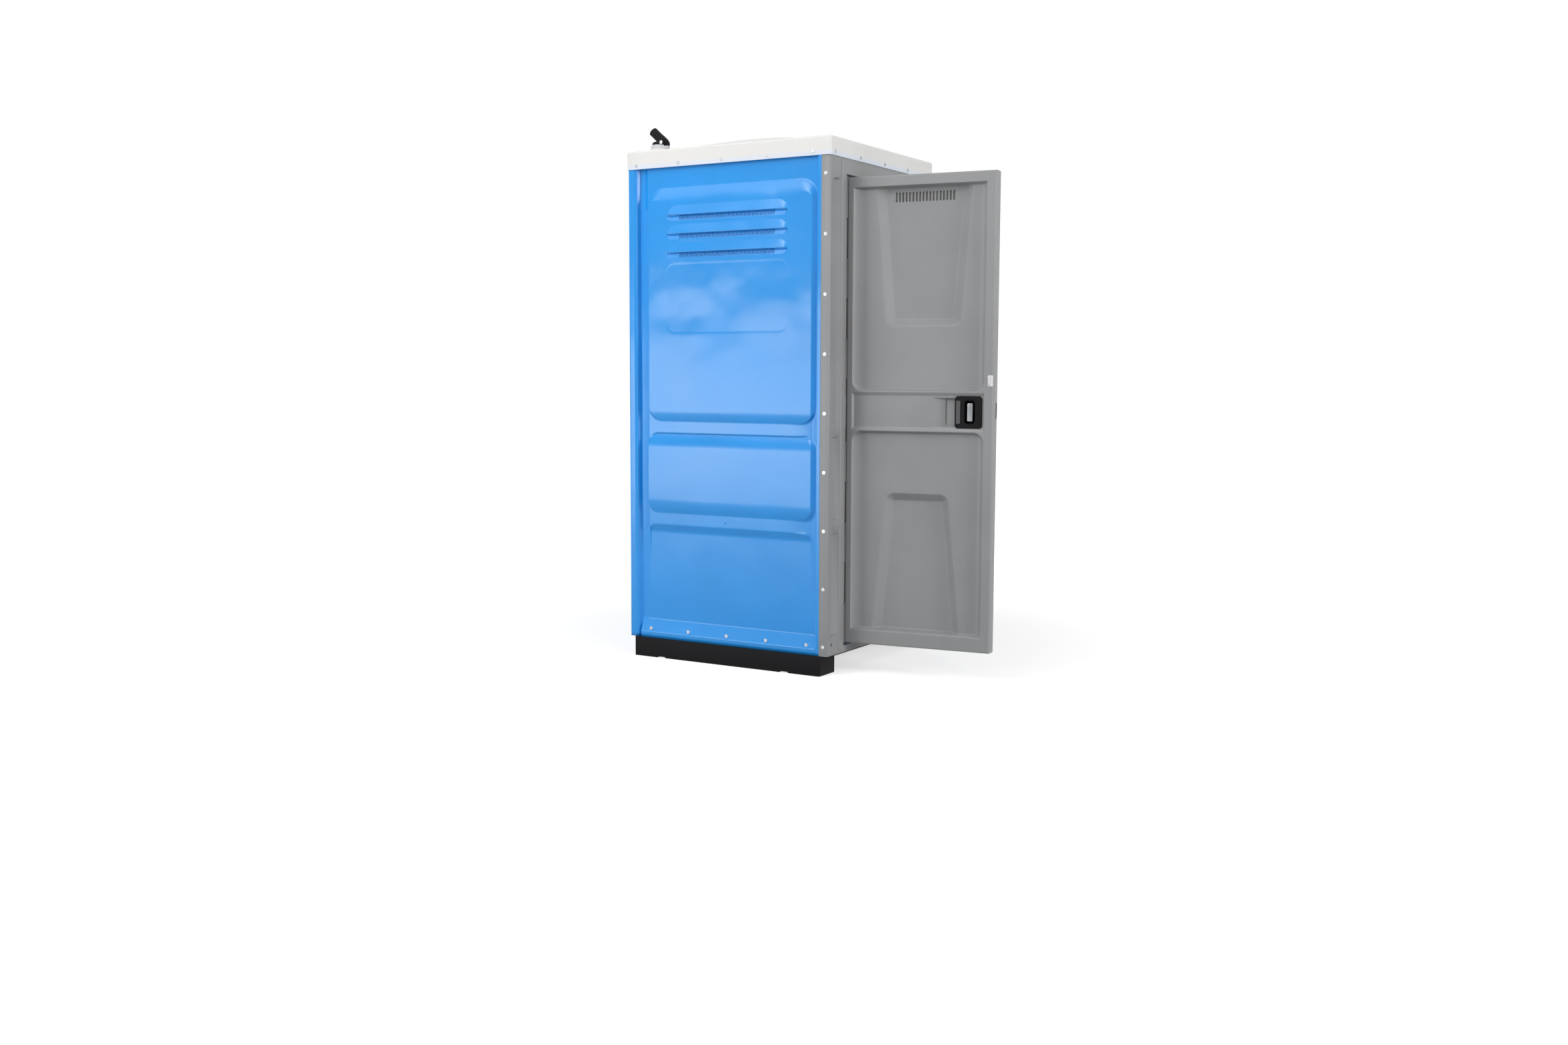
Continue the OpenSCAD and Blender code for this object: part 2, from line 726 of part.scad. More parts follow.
module front_frame() {
    color(grey) difference() {
        intersection() {
            union() {
                translate([-half_w, front_y, skid_h]) cube([cabin_w, frame_wrap, wall_top_z - skid_h]);
                translate([-inner_x + slip, front_y + frame_wrap - cut, skid_h]) {
                    cube([2 * (inner_x - slip), frame_depth - frame_wrap + cut, wall_top_z - skid_h]);
                }
            }
            translate([0, 0, skid_h - cut]) linear_extrude(height = wall_top_z) {
                round_rect(cabin_w, cabin_d, corner_r);
            }
        }
        translate([jamb_hinge_x, front_y - cut, threshold_z]) {
            cube([jamb_latch_x - jamb_hinge_x, door_t + 1.5 + cut, head_z - threshold_z]);
        }
        translate([door_x0 + lip_lap, front_y, threshold_z]) {
            cube([door_x1 - door_x0 - 2 * lip_lap, frame_depth + cut, door_top_z - lip_lap - threshold_z]);
        }
        left_and_right() {
            channel_cut(up_panel_z + 4, up_panel_top_z - 3);
            channel_cut(mid_panel_z + 7, mid_panel_top_z + 2);
            channel_cut(low_panel_z + 1, low_panel_top_z + 3.5);
            facing_prism(front_y - cut, front_y + 10) {
                translate([-half_w + stile_hinge_w / 4, sill_screw_z + 4.5]) circle(r = 7);
            }
        }
        strike_pocket();
    }
}

// The room in the latch stile for the strike plate and, behind it, the bolt's tip
module strike_pocket() {
    plate_room = 2;
    translate([jamb_latch_x - cut, front_y + bolt_depth - 6, latch_z - bolt_h / 2 - 14]) {
        cube([plate_room + cut, bolt_t + 12, bolt_h + 34]);
    }
    translate([jamb_latch_x, front_y + bolt_depth - 1.5, latch_z - bolt_h / 2 + 4]) {
        cube([throw_lock + 6, bolt_t + 3, bolt_h + 6]);
    }
}

module strike_plate() {
    color(zinc) difference() {
        translate([jamb_latch_x + 0.4, front_y + bolt_depth - 5.5, latch_z - bolt_h / 2 - 13.5]) {
            cube([1.6, bolt_t + 11, bolt_h + 33]);
        }
        translate([jamb_latch_x - cut, front_y + bolt_depth - 1.5, latch_z - bolt_h / 2 + 4]) {
            cube([5, bolt_t + 3, bolt_h + 6]);
        }
    }
}

// The height of the crown over the rim, from 0 at its edge to crown_rise in its middle
function swell(t) = 1 - pow(1 - t, 2);
function crown_at(fx, fy) = crown_rise * swell(1 - abs(fx)) * swell(1 - abs(fy));

// A solid under the crown's curved top, from a flat bottom
module crown(hx, hy, bottom, lift) {
    n = 14;
    m = n + 1;
    top = [for (i = [0:n], j = [0:n]) let (fx = 2 * i / n - 1, fy = 2 * j / n - 1)
        [fx * hx, fy * hy, rim_z + lift + crown_at(fx, fy)]];
    base = [for (p = top) [p[0], p[1], bottom]];
    k = m * m;
    cells = [for (i = [0:n - 1], j = [0:n - 1]) i * m + j];
    polyhedron(
        points = concat(top, base),
        faces = concat(
            [for (c = cells) [c, c + 1, c + m + 1]],
            [for (c = cells) [c, c + m + 1, c + m]],
            [for (c = cells) [k + c, k + c + m + 1, k + c + 1]],
            [for (c = cells) [k + c, k + c + m, k + c + m + 1]],
            [for (j = [0:n - 1]) [j + 1, j, k + j, k + j + 1]],
            [for (j = [0:n - 1]) let (c = n * m + j) [c, c + 1, k + c + 1, k + c]],
            [for (i = [0:n - 1]) let (c = i * m) [c, c + m, k + c + m, k + c]],
            [for (i = [0:n - 1]) let (c = i * m + n) [c + m, c, k + c, k + c + m]]
        ),
        convexity = 4
    );
}

module roof() {
    lap = roof_t + slip;
    hx = half_w + lap - rim_flat;
    hy = half_d + lap - rim_flat;
    through = 2 * (crown_rise + inlet_pad_h);
    color(white) difference() {
        union() {
            translate([0, 0, skirt_z]) linear_extrude(height = rim_z - skirt_z) {
                round_rect(cabin_w + 2 * lap, cabin_d + 2 * lap, corner_r + lap);
            }
            crown(hx, hy, rim_z - 2, 0.02);
            translate([inlet_x, inlet_y, wall_top_z + slip]) {
                cylinder(r = inlet_base_r + 2, h = inlet_base_z - wall_top_z - slip);
            }
        }
        translate([0, 0, skirt_z - cut]) linear_extrude(height = wall_top_z + slip - skirt_z + cut) {
            round_rect(cabin_w + 2 * slip, cabin_d + 2 * slip, corner_r + slip);
        }
        difference() {
            crown(hx - 3 * roof_t, hy - 3 * roof_t, wall_top_z - 2, -roof_t);
            translate([inlet_x, inlet_y, wall_top_z + slip]) cylinder(r = inlet_base_r + 2, h = through);
        }
        translate([inlet_x, inlet_y, wall_top_z]) cylinder(r = pipe_r + 1, h = through);
        translate([inlet_x, inlet_y, inlet_base_z]) cylinder(r = inlet_base_r + 2, h = through);
    }
}

module corner_screws() {
    color(zinc) left_and_right() for (i = [0:8]) {
        translate([-half_w, front_y + frame_wrap / 2, corner_screw_z0 + i * corner_screw_pitch]) {
            rotate([0, -90, 0]) screw();
        }
    }
}

module roof_screws() {
    z = skirt_z + 15;
    face = roof_t + slip;
    long = shank_len + rail_depth;
    pitch_x = (half_w - roof_screw_side) / 2;
    pitch_y = (half_d - roof_screw_end) / 2;
    color(zinc) for (i = [-2:2]) {
        left_and_right() translate([-half_w - face, i * pitch_y + 15, z]) rotate([0, -90, 0]) screw(long);
        translate([i * pitch_x, front_y - face, z]) rotate([90, 0, 0]) screw();
        translate([i * pitch_x, half_d + face, z]) rotate([-90, 0, 0]) screw(long);
    }
}

module sill_screws() {
    color(zinc) {
        left_and_right() for (u = side_sills) {
            translate([-half_w + sill_dish_depth, u, sill_screw_z]) rotate([0, -90, 0]) screw(wall_t);
        }
        for (u = rear_sills) {
            translate([u, half_d - sill_dish_depth, sill_screw_z]) rotate([-90, 0, 0]) screw(wall_t);
        }
    }
}

module rear_screws() {
    color(zinc) left_and_right() for (i = [0:6]) {
        translate([-inner_x + angle_w - 6, half_d - flute_depth, rear_screw_z + i * rear_screw_pitch]) {
            rotate([-90, 0, 0]) screw(wall_t - flute_depth + angle_t);
        }
    }
}

low_pitch = 169;
high_pitch = 163.7;
knuckle_runs = 5;
// The heights at which one knuckle ends and the next begins, from the bottom
low_ends = [for (i = [0:knuckle_runs]) door_bottom_z + i * low_pitch];
high_ends = [for (i = [0:knuckle_runs]) door_top_z - (knuckle_runs - i) * high_pitch];

// A knuckle on the rod with a leaf towards the frame (-1) or the door (1)
module knuckle(z0, z1, side) {
    h = z1 - z0 - knuckle_gap;
    leaf = side < 0 ? knuckle_r + knuckle_side_gap : knuckle_r + door_edge_gap;
    translate([axis_x, axis_y, z0 + knuckle_gap / 2]) difference() {
        union() {
            cylinder(r = knuckle_r, h = h);
            if (side < 0) translate([-leaf, 1, 0]) cube([leaf, 6, h]);
            else translate([0, -knuckle_r, 0]) cube([leaf, 2 * knuckle_r, h]);
        }
        translate([0, 0, -cut]) cylinder(r = rod_r + rod_play, h = h + 2 * cut);
    }
}

module frame_knuckles() {
    color(grey) {
        for (i = [1, 3]) {
            knuckle(low_ends[i], low_ends[i + 1], -1);
            knuckle(high_ends[i], high_ends[i + 1], -1);
        }
        knuckle(low_ends[knuckle_runs], sleeve_z, -1);
        knuckle(sleeve_z + sleeve_len, high_ends[0], -1);
    }
}

module door_knuckles() {
    color(grey) at_door() for (i = [0, 2, 4]) {
        knuckle(low_ends[i], low_ends[i + 1], 1);
        knuckle(high_ends[i], high_ends[i + 1], 1);
    }
}

module hinge_rod() {
    color(zinc) translate([axis_x, axis_y, door_bottom_z - 5]) {
        cylinder(r = rod_r, h = door_top_z - door_bottom_z + 10);
    }
}

module rod_caps() {
    cap_h = 5;
    color(black) for (z = [door_bottom_z - 0.5 - cap_h, door_top_z + 0.5]) {
        translate([axis_x, axis_y, z]) difference() {
            union() {
                cylinder(r = knuckle_r - 1, h = cap_h);
                translate([-knuckle_r - knuckle_side_gap, 1, 0]) {
                    cube([knuckle_r + knuckle_side_gap, 6, cap_h]);
                }
            }
            translate([0, 0, -cut]) cylinder(r = rod_r + rod_play, h = cap_h + 2 * cut);
        }
    }
}

module hinge_sleeve() {
    color([0.68, 0.69, 0.7]) translate([axis_x, axis_y, sleeve_z + knuckle_gap / 2]) difference() {
        cylinder(r = knuckle_r - 1, h = sleeve_len - knuckle_gap);
        translate([0, 0, -cut]) cylinder(r = rod_r + rod_play, h = sleeve_len + 2 * cut);
    }
}

panel_x0 = door_x0 + hinge_bar_w;
panel_x1 = door_x1 - free_bar_w;
panel_z0 = door_bottom_z + bottom_bar_h;
panel_z1 = door_top_z - top_bar_h;

// The room in front of the door's panels and its middle rail
module door_panel_air() {
    intersection() {
        facing_prism(front_y - 2 * cut, front_y + door_t) {
            panel_outline(panel_x0 - cut, panel_x1 + cut, rail_top_z, panel_z1 + cut, door_panel_r);
            panel_outline(panel_x0 - cut, panel_x1 + cut, panel_z0 - cut, rail_bottom_z, door_panel_r);
            translate([panel_x0 - cut, rail_bottom_z - door_panel_r]) {
                square([panel_x1 - panel_x0 + 2 * cut, rail_top_z - rail_bottom_z + 2 * door_panel_r]);
            }
        }
        side_prism(panel_x0, panel_x1) {
            polygon([[front_y - cut, panel_z0 - cut], [front_y, panel_z0],
                [front_y + door_panel_depth, panel_z0 + 15],
                [front_y + door_panel_depth, rail_bottom_z - 22],
                [front_y + door_rail_depth, rail_bottom_z], [front_y + door_rail_depth, rail_top_z],
                [front_y + door_panel_depth, rail_top_z + 22],
                [front_y + door_panel_depth, panel_z1 - 15], [front_y, panel_z1],
                [front_y - cut, panel_z1 + cut]]);
        }
        translate([0, 0, panel_z0 - cut]) linear_extrude(height = panel_z1 - panel_z0 + 2 * cut) {
            polygon([[panel_x0, front_y - cut], [panel_x0, front_y],
                [panel_x0 + door_slope_w, front_y + door_panel_depth],
                [panel_x1 - door_slope_w, front_y + door_panel_depth],
                [panel_x1, front_y], [panel_x1, front_y - cut]]);
        }
    }
}

// A recess whose sides taper, from half width rim0 at its bottom to rim1 at its top
module taper_air(mid_x, z0, z1, rim0, rim1, slope_w) {
    deep = door_panel_depth + taper_depth;
    hull() {
        facing_prism(front_y + door_panel_depth - cut, front_y + door_panel_depth) {
            polygon([[mid_x - rim0, z0], [mid_x + rim0, z0], [mid_x + rim1, z1], [mid_x - rim1, z1]]);
        }
        facing_prism(front_y + deep - cut, front_y + deep) {
            polygon([[mid_x - rim0 + slope_w, z0 + slope_w / 2], [mid_x + rim0 - slope_w, z0 + slope_w / 2],
                [mid_x + rim1 - slope_w, z1 - slope_w / 2], [mid_x - rim1 + slope_w, z1 - slope_w / 2]]);
        }
    }
}

module door_front_air() {
    door_panel_air();
    taper_air(door_mid_x + upper_taper_shift, 1440, panel_z1 - 15, 164, 208, 42);
    taper_air(door_mid_x + lower_taper_shift, panel_z0 + 15, 762, 191, 141, 42);
}

latch_body_w = bezel_w - 18;
latch_body_h = bezel_h - 20;

module door_shell() {
    door_w = door_x1 - door_x0;
    door_h = door_top_z - door_bottom_z;
    rail_face = front_y + door_rail_depth;
    color(grey) at_door() difference() {
        translate([door_x0, front_y, door_bottom_z]) cube([door_w, shell_depth, door_h]);
        door_front_air();
        difference() {
            translate([door_x0 + shell_t, front_y + shell_t, door_bottom_z + shell_t]) {
                cube([door_w - 2 * shell_t, door_t, door_h - 2 * shell_t]);
            }
            translate([0, shell_t, 0]) door_front_air();
            translate([latch_x - bezel_w / 2 - 85, front_y, latch_z - bezel_h / 2 - 8]) {
                cube([bezel_w + 95, cup_floor_depth + cup_floor_t, bezel_h + 16]);
            }
        }
        facing_prism(front_y, front_y + door_t) for (i = [0:vent_count - 1]) {
            translate([door_mid_x + 4 + (i - (vent_count - 1) / 2) * vent_pitch, 1963]) obround(vent_w, vent_h);
        }
        facing_prism(rail_face - cut, front_y + door_t) translate([latch_x, latch_z]) {
            round_rect(latch_body_w + 2 * slip, latch_body_h + 2 * slip, 8 + slip);
        }
        translate([0, 0, latch_z - bezel_h / 2 + 6]) linear_extrude(height = bezel_h - 12) {
            polygon([[latch_x - bezel_w / 2 - 75, rail_face - cut], [latch_x - bezel_w / 2 - 70, rail_face],
                [latch_x - bezel_w / 2 - 12, rail_face + 14], [latch_x - bezel_w / 2 - 3, rail_face + 14],
                [latch_x - bezel_w / 2 - 3, rail_face - cut]]);
        }
        translate([latch_x, front_y + bolt_depth - 1, latch_z - bolt_h / 2 + 7 - 1]) {
            cube([bezel_inset + cut, bolt_t + 2, bolt_h + 2]);
        }
    }
}

module door_inner_skin() {
    slide = throw_lock + throw_open + 2;
    color(grey) at_door() difference() {
        translate([door_x0, front_y + shell_depth, door_bottom_z]) {
            cube([door_x1 - door_x0, skin_t, door_top_z - door_bottom_z]);
        }
        for (z = [[panel_z0, rail_bottom_z - 20], [rail_top_z + 20, panel_z1]]) {
            facing_prism(front_y + door_t - 2, front_y + door_t + cut) {
                translate([door_mid_x, (z[0] + z[1]) / 2]) {
                    round_rect(panel_x1 - panel_x0 - 20, z[1] - z[0], 40);
                }
            }
        }
        facing_prism(front_y + shell_depth - cut, front_y + door_t + cut) {
            translate([grip_x + (throw_lock - throw_open) / 2, latch_z + 7]) {
                square([shank_w + slide, shank_h + 2], center = true);
            }
        }
    }
}

module edge_plate() {
    color(white) at_door() facing_prism(front_y - 1.5, front_y) {
        translate([door_x1 - 12, edge_plate_z]) round_rect(22, 44, 3);
    }
}

module edge_plate_screws() {
    color(zinc) at_door() for (z = [edge_plate_z - 14, edge_plate_z + 14]) {
        translate([door_x1 - 12, front_y - 1.5, z]) rotate([90, 0, 0]) {
            translate([0, 0, -5]) cylinder(r = 1.6, h = 5.1);
            cylinder(r1 = 3.4, r2 = 2.4, h = 1.4);
        }
    }
}

module latch_bezel() {
    rail_face = front_y + door_rail_depth;
    slot_z = latch_z;
    color(black) at_door() difference() {
        union() {
            facing_prism(rail_face - bezel_proud, rail_face) {
                translate([latch_x, latch_z]) round_rect(bezel_w, bezel_h, 14);
            }
            facing_prism(rail_face - cut, front_y + cup_floor_depth + cup_floor_t) {
                translate([latch_x, latch_z]) round_rect(latch_body_w, latch_body_h, 8);
            }
        }
        facing_prism(rail_face - bezel_proud - cut, front_y + cup_floor_depth) {
            translate([slot_x, slot_z]) round_rect(latch_slot_w, latch_slot_h, 12);
        }
        facing_prism(front_y + cup_floor_depth - cut, front_y + door_t) {
            translate([grip_x + (throw_lock - throw_open) / 2, latch_z + 7]) {
                square([shank_w + throw_lock + throw_open + 2, shank_h + 2], center = true);
            }
        }
    }
}

module latch_grip() {
    rail_face = front_y + door_rail_depth;
    color(chrome) at_door() {
        facing_prism(rail_face, front_y + cup_floor_depth - 1) {
            translate([grip_x, latch_z]) round_rect(grip_w, grip_h, 4);
        }
        facing_prism(front_y + cup_floor_depth - 2, front_y + bolt_depth) {
            translate([grip_x, latch_z + 7]) square([shank_w, shank_h], center = true);
        }
    }
}

module latch_bolt() {
    tip_x = door_x1 + bolt_proud;
    tail_x = grip_x - shank_w / 2 - 12;
    color(black) at_door() {
        translate([tail_x, front_y + bolt_depth, latch_z - bolt_h / 2 + 7]) {
            cube([tip_x - tail_x, bolt_t, bolt_h]);
        }
        facing_prism(front_y + bolt_depth + bolt_t - cut, front_y + door_t + cover_t + 1) {
            translate([grip_x, latch_z + 7]) square([shank_w, shank_h], center = true);
        }
    }
}

module inner_latch_cover() {
    slide = throw_lock + throw_open + 2;
    color(black) at_door() facing_prism(front_y + door_t, front_y + door_t + cover_t) difference() {
        translate([latch_x + 4, latch_z]) round_rect(bezel_w - 10, bezel_h - 20, 12);
        translate([grip_x + (throw_lock - throw_open) / 2, latch_z + 7]) {
            square([shank_w + slide, shank_h + 2], center = true);
        }
    }
}

module inner_latch_knob() {
    color(black) at_door() {
        facing_prism(front_y + door_t + cover_t + 1, front_y + door_t + cover_t + 16) {
            translate([grip_x, latch_z + 7]) round_rect(26, 54, 10);
        }
    }
}

// The room that the inlet tube sweeps between its lowest tilt and straight up
module inlet_sweep() {
    w = 2 * (inlet_r + cheek_gap);
    translate([inlet_x, inlet_pivot_y, inlet_pivot_z]) {
        rotate([0, 90, 0]) cylinder(d = w, h = w, center = true);
        rotate([inlet_tilt - inlet_swing_down - 90, 0, 0]) {
            cylinder(d = w, h = 100);
            translate([-w / 2, -60, 0]) cube([w, 60, 100]);
        }
    }
}

module inlet_base() {
    bevel = 4;
    color([0.72, 0.73, 0.74]) difference() {
        translate([inlet_x, inlet_y, inlet_base_z]) {
            cylinder(r = inlet_base_r, h = inlet_base_h - bevel);
            translate([0, 0, inlet_base_h - bevel]) {
                cylinder(r1 = inlet_base_r, r2 = inlet_base_r - bevel, h = bevel);
            }
        }
        translate([inlet_x, inlet_y, inlet_base_z - cut]) cylinder(r = pipe_r + 1, h = inlet_base_h);
        inlet_sweep();
    }
}

module inlet_foot() {
    foot_h = 14;
    color(black) difference() {
        union() {
            translate([inlet_x, inlet_y, inlet_foot_z]) {
                cylinder(r = inlet_foot_r, h = foot_h - 5);
                translate([0, 0, foot_h - 5]) cylinder(r1 = inlet_foot_r, r2 = inlet_foot_r - 7, h = 5);
            }
            for (s = [-1, 1]) {
                translate([inlet_x + s * (inlet_r + cheek_gap + cheek_t / 2), inlet_pivot_y, inlet_pivot_z]) {
                    rotate([0, 90, 0]) cylinder(r = cheek_r, h = cheek_t, center = true);
                    translate([-cheek_t / 2, -cheek_r, inlet_foot_z - inlet_pivot_z]) {
                        cube([cheek_t, 2 * cheek_r, inlet_pivot_z - inlet_foot_z]);
                    }
                }
            }
        }
        inlet_sweep();
        translate([inlet_x, inlet_pivot_y, inlet_pivot_z]) rotate([0, 90, 0]) {
            cylinder(r = rod_r + rod_play, h = 4 * inlet_r, center = true);
        }
        for (s = [-1, 1]) {
            translate([inlet_x + s * (inlet_r + cheek_gap + cheek_t + 10), inlet_pivot_y, inlet_pivot_z]) {
                rotate([0, 90, 0]) cylinder(r = 9, h = 20, center = true);
            }
        }
    }
}

// The inlet tube is turned round its own axis: a round end at the pivot, a short pipe, then the
// slightly thinner end that a hose slides over
module inlet_tube() {
    bore_r = inlet_r - 3;
    color(black) translate([inlet_x, inlet_pivot_y, inlet_pivot_z]) difference() {
        rotate([inlet_tilt - 90, 0, 0]) {
            rotate_extrude() {
                intersection() {
                    circle(r = inlet_r);
                    translate([0, -inlet_r]) square([inlet_r, inlet_r]);
                }
                square([inlet_r, rod_r + 4]);
                translate([bore_r, 0]) square([inlet_r - bore_r, inlet_len - inlet_end_len]);
                translate([bore_r, 0]) square([inlet_end_r - bore_r, inlet_len]);
            }
        }
        rotate([0, 90, 0]) cylinder(r = rod_r + rod_play, h = 4 * inlet_r, center = true);
    }
}

module inlet_pivot_pin() {
    reach = inlet_r + cheek_gap + cheek_t;
    color(zinc) translate([inlet_x, inlet_pivot_y, inlet_pivot_z]) rotate([0, 90, 0]) {
        cylinder(r = rod_r, h = 2 * reach, center = true);
        for (s = [-1, 1]) {
            translate([0, 0, s * (reach + 1.5)]) cylinder(r = 8, h = 3, center = true);
        }
    }
}

module pipe_ring(outer_r, length) {
    difference() {
        cylinder(r = outer_r, h = length);
        translate([0, 0, -cut]) cylinder(r = pipe_r - pipe_wall, h = length + 2 * cut);
    }
}

module supply_pipe() {
    color(chrome) translate([inlet_x, inlet_y, mixer_z + socket_h]) {
        pipe_ring(pipe_r, inlet_base_z + 5 - mixer_z - socket_h);
        pipe_ring(pipe_r + 3, 12);
    }
}

module mixer_body() {
    color(chrome) {
        translate([inlet_x, mixer_y0, mixer_z]) rotate([90, 0, 0]) cylinder(r = mixer_r, h = mixer_len);
        for (y = [inlet_y, riser_y]) {
            translate([inlet_x, y, mixer_z]) cylinder(r = pipe_r + 4, h = socket_h);
        }
        for (y = [mixer_y0 - 30, mixer_y0 - mixer_len + 30]) {
            translate([-inner_x, y, mixer_z]) rotate([0, 90, 0]) {
                cylinder(r = 10, h = inlet_inset - wall_t);
                cylinder(r = 17, h = 3);
            }
        }
    }
}

module tap_knob(y) {
    collar = 14;
    translate([knob_x, y, mixer_z]) rotate([0, 90, 0]) {
        translate([0, 0, 0.3]) cylinder(r = 9, h = collar);
        translate([0, 0, collar]) difference() {
            cylinder(r = knob_r, h = 24);
            for (a = [0:45:315]) {
                rotate([0, 0, a]) translate([knob_r + 3, 0, -cut]) cylinder(r = 6, h = 24 + 2 * cut);
            }
        }
    }
}

module hot_knob() {
    color([0.8, 0.25, 0.2]) tap_knob(mixer_y0 - 40);
}

module cold_knob() {
    color([0.2, 0.35, 0.8]) tap_knob(mixer_y0 - mixer_len + 40);
}

module riser_pipe() {
    color(chrome) translate([inlet_x, riser_y, mixer_z + socket_h]) {
        pipe_ring(pipe_r, arm_z - arm_bend_r - mixer_z - socket_h);
        pipe_ring(pipe_r + 3, 12);
    }
}

module shower_arm() {
    color(chrome) {
        translate([inlet_x + arm_bend_r, riser_y, arm_z - arm_bend_r]) rotate([90, 0, 0]) {
            rotate([0, 0, 90]) rotate_extrude(angle = 90) translate([arm_bend_r, 0]) circle(r = pipe_r);
        }
        translate([inlet_x + arm_bend_r, riser_y, arm_z]) rotate([0, 90, 0]) {
            cylinder(r = pipe_r, h = arm_reach - arm_bend_r + 14);
        }
        for (s = [-1, 1]) {
            translate([arm_end_x - 9, riser_y + s * 13 - 2.5, head_pivot_z - 9]) {
                cube([18, 5, arm_z - head_pivot_z + 9]);
            }
        }
        translate([arm_end_x - 9, riser_y - 15.5, arm_z - 8]) cube([18, 31, 8]);
        translate([arm_end_x, riser_y, head_pivot_z]) rotate([90, 0, 0]) {
            cylinder(r = 3, h = 31, center = true);
        }
    }
}

module shower_head() {
    neck = 24;
    color(chrome) translate([arm_end_x, riser_y, head_pivot_z]) difference() {
        union() {
            rotate([90, 0, 0]) cylinder(r = 9, h = 20, center = true);
            translate([0, 0, -neck]) cylinder(r = 8, h = neck);
            translate([0, 0, -neck - 14]) cylinder(r1 = head_r, r2 = 14, h = 16);
            translate([0, 0, -neck - 22]) cylinder(r = head_r, h = 8);
        }
        rotate([90, 0, 0]) cylinder(r = 3 + rod_play, h = 40, center = true);
    }
}

module nozzle_plate() {
    plate_t = 3;
    color([0.35, 0.35, 0.36]) translate([arm_end_x, riser_y, head_pivot_z - 46 - plate_t]) difference() {
        cylinder(r = head_r - 3, h = plate_t);
        for (ring = [1:3], i = [0:6 * ring - 1]) {
            rotate([0, 0, i * 60 / ring]) translate([ring * head_r / 4, 0, -cut]) {
                cylinder(r = 1.6, h = plate_t + 2 * cut);
            }
        }
    }
}

module pipe_clips() {
    ring = pipe_r + 3;
    z0 = mixer_z + clip_rise;
    color([0.3, 0.3, 0.3]) for (p = [[inlet_y, z0], [inlet_y, z0 + clip_pitch], [riser_y, z0],
        [riser_y, z0 + clip_pitch], [inlet_y, z0 + 2 * clip_pitch]]) {
        translate([inlet_x, p[0], p[1]]) difference() {
            union() {
                cylinder(r = ring, h = clip_h);
                translate([-inlet_inset + wall_t, -clip_w / 2, 0]) {
                    cube([inlet_inset - wall_t, clip_w, clip_h]);
                }
            }
            translate([0, 0, -cut]) cylinder(r = pipe_r + 0.05, h = clip_h + 2 * cut);
        }
    }
}

module soap_shelf() {
    wall = 4;
    rim = 22;
    pitch = (shelf_len - 2 * shelf_edge - wall) / 7;
    color([0.85, 0.85, 0.83]) translate([fitting_x - shelf_len / 2, inner_rear_y - shelf_d, shelf_z]) difference() {
        union() {
            cube([shelf_len, shelf_d, rim]);
            translate([0, shelf_d - wall, 0]) cube([shelf_len, wall, shelf_back_h]);
        }
        translate([wall, wall, wall]) cube([shelf_len - 2 * wall, shelf_d - 2 * wall, shelf_back_h]);
        for (i = [-3:3]) {
            translate([shelf_len / 2 + i * pitch - 4, shelf_edge, -cut]) {
                cube([8, shelf_d - 2 * shelf_edge, wall + 2 * cut]);
            }
        }
    }
}

hook_places = [fitting_x - hook_pitch, fitting_x, fitting_x + hook_pitch];

module coat_hooks() {
    color(chrome) for (x = hook_places) {
        translate([x, inner_rear_y, hook_z]) {
            facing_prism(-4, 0) round_rect(hook_plate_w, hook_plate_h, 8);
            translate([0, -3, 0]) rotate([90, 0, 0]) cylinder(r = 5, h = hook_reach - 3);
            translate([0, -hook_reach, 0]) {
                cylinder(r = 5, h = 22);
                sphere(r = 5);
                translate([0, 0, 24]) sphere(r = 8);
            }
        }
    }
}

module hook_screws() {
    rise = hook_plate_h / 2 - 12;
    color(zinc) for (x = hook_places, z = [-rise, rise]) {
        translate([x, inner_rear_y - 4, hook_z + z]) rotate([90, 0, 0]) {
            translate([0, 0, -12]) cylinder(r = 2, h = 12.1);
            cylinder(r1 = 4, r2 = 2.5, h = 1.8);
        }
    }
}

left_skid();
right_skid();
base_deck();
shower_tray();
drain_grate();
drain_trap();
anchor_plugs();
left_wall();
right_wall();
rear_wall();
rear_angles();
front_frame();
roof();
corner_screws();
roof_screws();
sill_screws();
rear_screws();
frame_knuckles();
door_knuckles();
hinge_rod();
rod_caps();
hinge_sleeve();
door_shell();
door_inner_skin();
edge_plate();
edge_plate_screws();
strike_plate();
latch_bezel();
latch_grip();
latch_bolt();
inner_latch_cover();
inner_latch_knob();
inlet_base();
inlet_foot();
inlet_tube();
inlet_pivot_pin();
supply_pipe();
mixer_body();
hot_knob();
cold_knob();
riser_pipe();
shower_arm();
pipe_clips();
shower_head();
nozzle_plate();
soap_shelf();
coat_hooks();
hook_screws();
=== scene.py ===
"""Looks of a portable shower cabin: softly moulded shell, panelled door, latch, inlet and fittings."""

import logging
import math
from dataclasses import dataclass, field
from enum import Enum
from typing import Callable, ClassVar, Iterable, Sequence

import bmesh
import bpy
import numpy as np
from mathutils import Matrix, Vector

